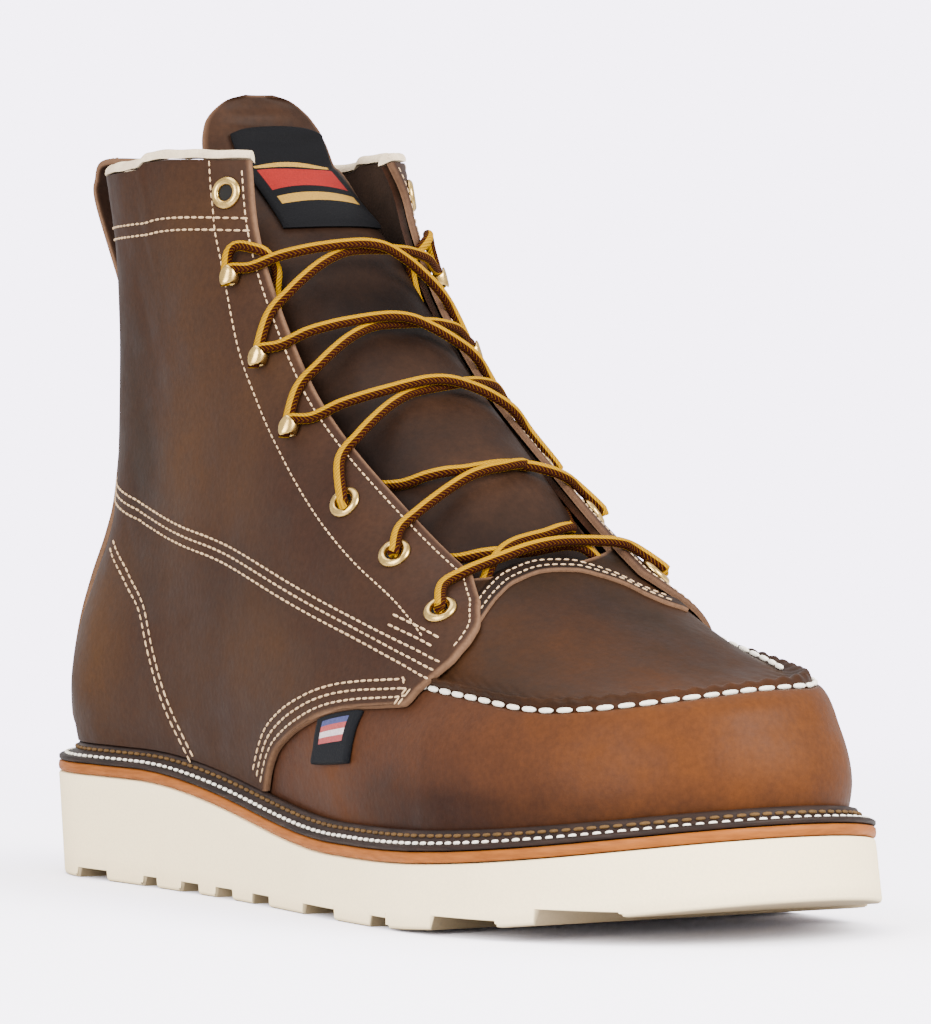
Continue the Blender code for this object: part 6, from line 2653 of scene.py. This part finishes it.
@dataclass
class Lacing:
    """Braided lace over the tongue, and its two ends tucked in beside it."""

    palette: Palette
    wide: float = 1.4
    thick: float = 1.3
    lift: float = 2.4
    step_up: float = 1.2
    dive: float = 5.9
    tuck_gap: float = 27.0
    strands: tuple[Strand, ...] = (
        Strand("1", "1", Side.LATERAL, StrandEnd.EYELET, StrandEnd.EYELET, 2.0, 0.06, 0.42, 0.06),
        Strand("1", "2", Side.LATERAL, StrandEnd.UNDER, StrandEnd.UNDER, -0.9, 0.04, 0.02, 0.16),
        Strand("1", "2", Side.MEDIAL, StrandEnd.UNDER, StrandEnd.UNDER, -2.6, 0.14, -0.04, 0.18),
        Strand("2", "3", Side.LATERAL, StrandEnd.EYELET, StrandEnd.UNDER, 1.2, 0.02, 0.11, 0.19),
        Strand("2", "3", Side.MEDIAL, StrandEnd.EYELET, StrandEnd.UNDER, -1.4, 0.04, 0.18, 0.25),
        Strand("3", "4", Side.LATERAL, StrandEnd.EYELET, StrandEnd.HOOK, -1.4, 0.05, 0.33, -0.06),
        Strand("3", "4", Side.MEDIAL, StrandEnd.EYELET, StrandEnd.HOOK, 1.45, 0.05, 0.33, -0.06),
        Strand("4", "5", Side.LATERAL, StrandEnd.HOOK, StrandEnd.HOOK, -1.4, 0.05, 0.40, -0.06),
        Strand("4", "5", Side.MEDIAL, StrandEnd.HOOK, StrandEnd.HOOK, 1.45, 0.05, 0.40, -0.06),
        Strand("5", "6", Side.LATERAL, StrandEnd.HOOK, StrandEnd.HOOK, -1.4, 0.05, 0.40, -0.06),
        Strand("5", "6", Side.MEDIAL, StrandEnd.HOOK, StrandEnd.HOOK, 1.45, 0.05, 0.40, -0.06))
    eyelet_exit: tuple[Triple, ...] = ((0.2, 0.0, -1.2), (0.0, 0.2, 0.9), (-1.2, 1.0, 2.3))
    hook_turn: tuple[Triple, ...] = ((1.3, 0.0, 2.4), (0.6, 2.2, 2.3))
    reaches: tuple[float, ...] = (0.84, 0.68, 0.5, 0.34, 0.17)
    facing: Triple = (0.8, -0.4, 0.45)

    def end_stops(self, station: Station, side: Side, kind: StrandEnd, upper: bool,
                  level: float) -> list[Array]:
        """Stops of a strand at a station, from the station towards the throat.

        Args:
            station: Station of the end.
            side: Side of the boot.
            kind: How the strand ends.
            upper: Whether the strand leaves upwards.
            level: Level at which a strand dives under the eyestay.

        Returns:
            Points in order.
        """
        seat = panel_seat(station.level, side, station.inset)
        turn = 1.0 if upper else -1.0
        if kind is StrandEnd.EYELET:
            return [seat.at(back, turn * up, out) for back, up, out in self.eyelet_exit]
        if kind is StrandEnd.HOOK:
            return [seat.at(back, turn * up, out) for back, up, out in self.hook_turn]
        return [LAST.skin(level, LAST.stay_place(level, side, inset), out)
                for inset, out in ((6.0, -3.4), (2.2, -3.2))]

    def reach_gap(self, station: Station, side: Side, kind: StrandEnd) -> float:
        """Distance from the last's axis to where a strand leaves its station.

        Args:
            station: Station of the end.
            side: Side of the boot.
            kind: How the strand ends.

        Returns:
            The distance.
        """
        if kind is StrandEnd.UNDER:
            return self.tuck_gap
        spot = panel_seat(station.level, side, station.inset).spot
        return abs(float(spot[1] - WEDGE.axis(spot[0])))

    def route(self, strand: Strand) -> Array:
        """Smooth middle line of a strand, always from the lateral to the medial side.

        Args:
            strand: Strand to lay.

        Returns:
            Points of the line.
        """
        low, high = STATIONS[strand.low], STATIONS[strand.high]
        start, middle, end = low.level + strand.rise, high.level + strand.crest, high.level + strand.fall
        sides = (strand.side, Side(-strand.side))
        level_bar = strand.low == strand.high
        gaps = (self.reach_gap(low, sides[0], strand.start), self.reach_gap(high, sides[1], strand.end))
        stops = self.end_stops(low, sides[0], strand.start, True, start)
        for reach in (*self.reaches, 0.0, *(-value for value in reversed(self.reaches))):
            first = reach >= 0
            here, gap = sides[0 if first else 1], gaps[0 if first else 1]
            kind = strand.start if first else strand.end
            away = abs(reach)
            fade = 1.0 - away ** (2 if first and not level_bar else 3)
            level = (start if first else end) + (middle - (start if first else end)) * fade
            lift = self.lift + strand.over * float(bump(reach, 0.4))
            if kind is StrandEnd.UNDER:
                lift -= self.dive * float(eased((away - 0.35) / 0.5))
            else:
                lift += self.step_up * float(eased((away - 0.35) / 0.4))
            share = max(LAST.share_at_gap(level, here, gap * away)[0], TINY)
            stops.append(LAST.skin(level, here * share, lift))
        stops += self.end_stops(high, sides[1], strand.end, level_bar, end)[::-1]
        line = curve_through(np.array(stops), 110)
        return line if strand.side is Side.LATERAL else line[::-1]

    def end_route(self, side: Side) -> Array:
        """Middle line of one lace end: round the top hook, over the eyestay and down by the tongue.

        Args:
            side: Side of the boot.

        Returns:
            Points of the line.
        """
        station = STATIONS["6"]
        inset, climb = station.inset, 1.0 if side is Side.LATERAL else 1.45
        stops = self.end_stops(station, side, StrandEnd.HOOK, True, station.level)
        for rise, behind, out in ((0.22, inset - 1.2, 2.3), (0.34, inset - 3.5, 2.4),
                                  (0.37, inset - 6.0, 2.4), (0.34, 1.4, 2.3), (0.30, -1.2, 1.2)):
            stops.append(panel_seat(station.level + climb * rise, side, behind).at(0.0, 0.0, out))
        for rise, behind, out in ((0.2, -1.8, -1.4), (0.0, 1.0, -3.4), (-0.22, 3.4, -3.8)):
            level = station.level + climb * rise
            stops.append(LAST.skin(level, LAST.stay_place(level, side, behind), out))
        return curve_through(np.array(stops), 36)

    def tube(self, name: str, routes: Sequence[Array]) -> Object:
        """Oval braided tubes along routes, with a map of length and turn for the braid.

        Args:
            name: Name of the piece.
            routes: Middle lines.

        Returns:
            The new object.
        """
        sides = 16
        turn = np.linspace(0.0, 2 * math.pi, sides, endpoint=False)
        solid = Solid(name)
        lengths = []
        for route in routes:
            heading = unit(np.gradient(route, axis=0))
            outward = unit(np.array(self.facing) - (heading @ np.array(self.facing))[:, None] * heading)
            aside = np.cross(heading, outward)
            oval = (aside[:, None] * np.cos(turn)[:, None] * self.wide
                    + outward[:, None] * np.sin(turn)[:, None] * self.thick)
            solid.add_tube(route[:, None] + oval)
            lengths.append(np.repeat(run_length(route), sides))
        piece = solid.make([self.palette("lace")], 80.0)
        mesh = piece.data
        length = np.concatenate(lengths)
        chart = mesh.uv_layers.new(name="braid")
        corner = np.zeros(len(mesh.loops), int)
        mesh.loops.foreach_get("vertex_index", corner)
        place = (np.arange(len(length)) % sides / sides + 0.25) % 1.0
        flat = np.column_stack((length[corner], place[corner]))
        starts = np.zeros(len(mesh.polygons), int)
        mesh.polygons.foreach_get("loop_start", starts)
        for first in starts:
            block = flat[first:first + 4, 1]
            if block.max() - block.min() > 0.5:
                block[block < 0.5] += 1.0
        chart.data.foreach_set("uv", flat.reshape(-1))
        return piece

    def build(self) -> None:
        """Build the run of lace and its two free ends."""
        for side in Side:
            route = self.end_route(side)
            piece = self.tube("lace_tail_" + side.word, [route])
            settle(piece, Slot.LACE, ["lace_end_" + side.word])
        run = self.tube("lace_run", [self.route(strand) for strand in self.strands])
        settle(run, Slot.LACE, ["lace_bar"] + ["lace_crossing_%d" % number for number in range(2, 6)])


# Studio


class Lamp(NamedTuple):
    """Soft box: where it stands, its size and its power."""

    name: str
    place: Triple
    size: float
    power: float
    tint: Colour


@dataclass
class Studio:
    """Camera at the photograph's angle, soft light and a pale floor."""

    eye: Triple = (1.4132, -0.9006, 0.1384)
    heading_degrees: float = 55.6
    focal_pixels: float = 3570.0
    aside_pixels: float = -101.5
    down_pixels: float = 84.5
    enlarge: float = 1.851
    frame_width: float = 931.0
    sensor: float = 36.0
    backdrop: Colour = (5.87, 5.39, 6.51)
    surround: Colour = (1.5, 1.48, 1.5)
    floor_tone: Colour = (0.8, 0.795, 0.81)
    floor_glow: Colour = (3.0, 2.75, 3.3)
    floor_reach: float = 1.6
    floor_fade: tuple[float, float] = (0.24, 0.7)
    contact: float = 0.06
    lamps: tuple[Lamp, ...] = (
        Lamp("key", (1.15, 0.45, 0.75), 0.9, 50.0, (1.0, 0.98, 0.95)),
        Lamp("side", (0.55, -1.2, 0.5), 1.1, 37.0, (1.0, 0.99, 0.97)),
        Lamp("top", (-0.1, -0.2, 1.3), 1.0, 10.0, (1.0, 1.0, 1.0)))

    def build_camera(self) -> None:
        """Camera that looks at the boot as the photograph does."""
        angle = math.radians(self.heading_degrees)
        back = np.array((math.sin(angle), -math.cos(angle), 0.0))
        right = np.array((math.cos(angle), math.sin(angle), 0.0))
        look = -back * self.focal_pixels + right * self.aside_pixels - np.array((0.0, 0.0, self.down_pixels))
        data = bpy.data.cameras.new("camera")
        data.sensor_fit = "HORIZONTAL"
        data.sensor_width = self.sensor
        data.lens = self.focal_pixels * self.enlarge / self.frame_width * self.sensor
        data.clip_end = 50.0
        camera = bpy.data.objects.new("camera", data)
        camera.location = self.eye
        camera.rotation_euler = Vector(look).to_track_quat("-Z", "Y").to_euler()
        bpy.context.collection.objects.link(camera)
        bpy.context.scene.camera = camera

    def build_light(self) -> None:
        """Soft boxes and a pale surrounding."""
        for lamp in self.lamps:
            data = bpy.data.lights.new(lamp.name, "AREA")
            data.shape = "DISK"
            data.size = lamp.size
            data.energy = lamp.power
            data.color = lamp.tint
            light = bpy.data.objects.new(lamp.name, data)
            light.location = lamp.place
            towards = Vector((0.0, 0.0, 0.07)) - Vector(lamp.place)
            light.rotation_euler = towards.to_track_quat("-Z", "Y").to_euler()
            bpy.context.collection.objects.link(light)
        world = bpy.data.worlds.new("studio")
        world.use_nodes = True
        graph = Graph(world.node_tree)
        sky = world.node_tree.nodes["Background"]
        seen = graph.node("ShaderNodeLightPath").outputs["Is Camera Ray"]
        graph.put(sky.inputs["Color"], graph.mix(seen, self.surround, self.backdrop))
        bpy.context.scene.world = world

    def build_floor(self) -> None:
        """Pale floor that fades into the surrounding."""
        rings, turns = np.linspace(0.05, self.floor_reach, 32), 64
        mesh = bpy.data.meshes.new("floor")
        faces = ring_quads(len(rings), turns) + [tuple(range(turns))]
        mesh.from_pydata(turned_points([(radius, 0.0) for radius in rings], turns), [], faces)
        material = bpy.data.materials.new("pale_floor")
        material.use_nodes = True
        graph = Graph(material.node_tree)
        shader = material.node_tree.nodes["Principled BSDF"].inputs
        away = graph.node("ShaderNodeVectorMath", {0: graph.place()}, operation="LENGTH").outputs["Value"]
        seen = graph.node("ShaderNodeLightPath").outputs["Is Camera Ray"]
        open_sky = graph.node("ShaderNodeAmbientOcclusion", {"Distance": self.contact}, samples=6)
        graph.dress(self.floor_tone, 0.9, 0.0)
        graph.put(shader["Emission Color"], self.floor_glow)
        graph.put(shader["Emission Strength"], graph.times(seen, open_sky.outputs["AO"]))
        graph.put(shader["Alpha"], graph.remap(away, *self.floor_fade, 1.0, 0.0))
        new_piece("floor", mesh, [material])

    def build(self) -> None:
        """Build the whole studio."""
        self.build_camera()
        self.build_light()
        self.build_floor()


def write_sizes() -> None:
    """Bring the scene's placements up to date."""
    bpy.context.view_layer.update()


def main() -> None:
    """Build the boot piece by piece."""
    logging.basicConfig(level=logging.INFO, format="%(name)s: %(message)s")
    Studio().build()
    palette = Palette()
    scatter = Scatter()
    stitching = Stitching(scatter, palette)
    Lacing(palette).build()
    Fittings(palette, scatter).build()
    Sole(palette, stitching).build()
    Upper(palette, stitching).build()
    for side in Side:
        Quarter(palette, stitching, side).build()
    Heel(palette, stitching).build()
    TongueBase(palette, stitching).build()
    Tongue(palette).build()
    SideTab(palette).build()
    write_sizes()


if __name__ == "__main__":
    main()
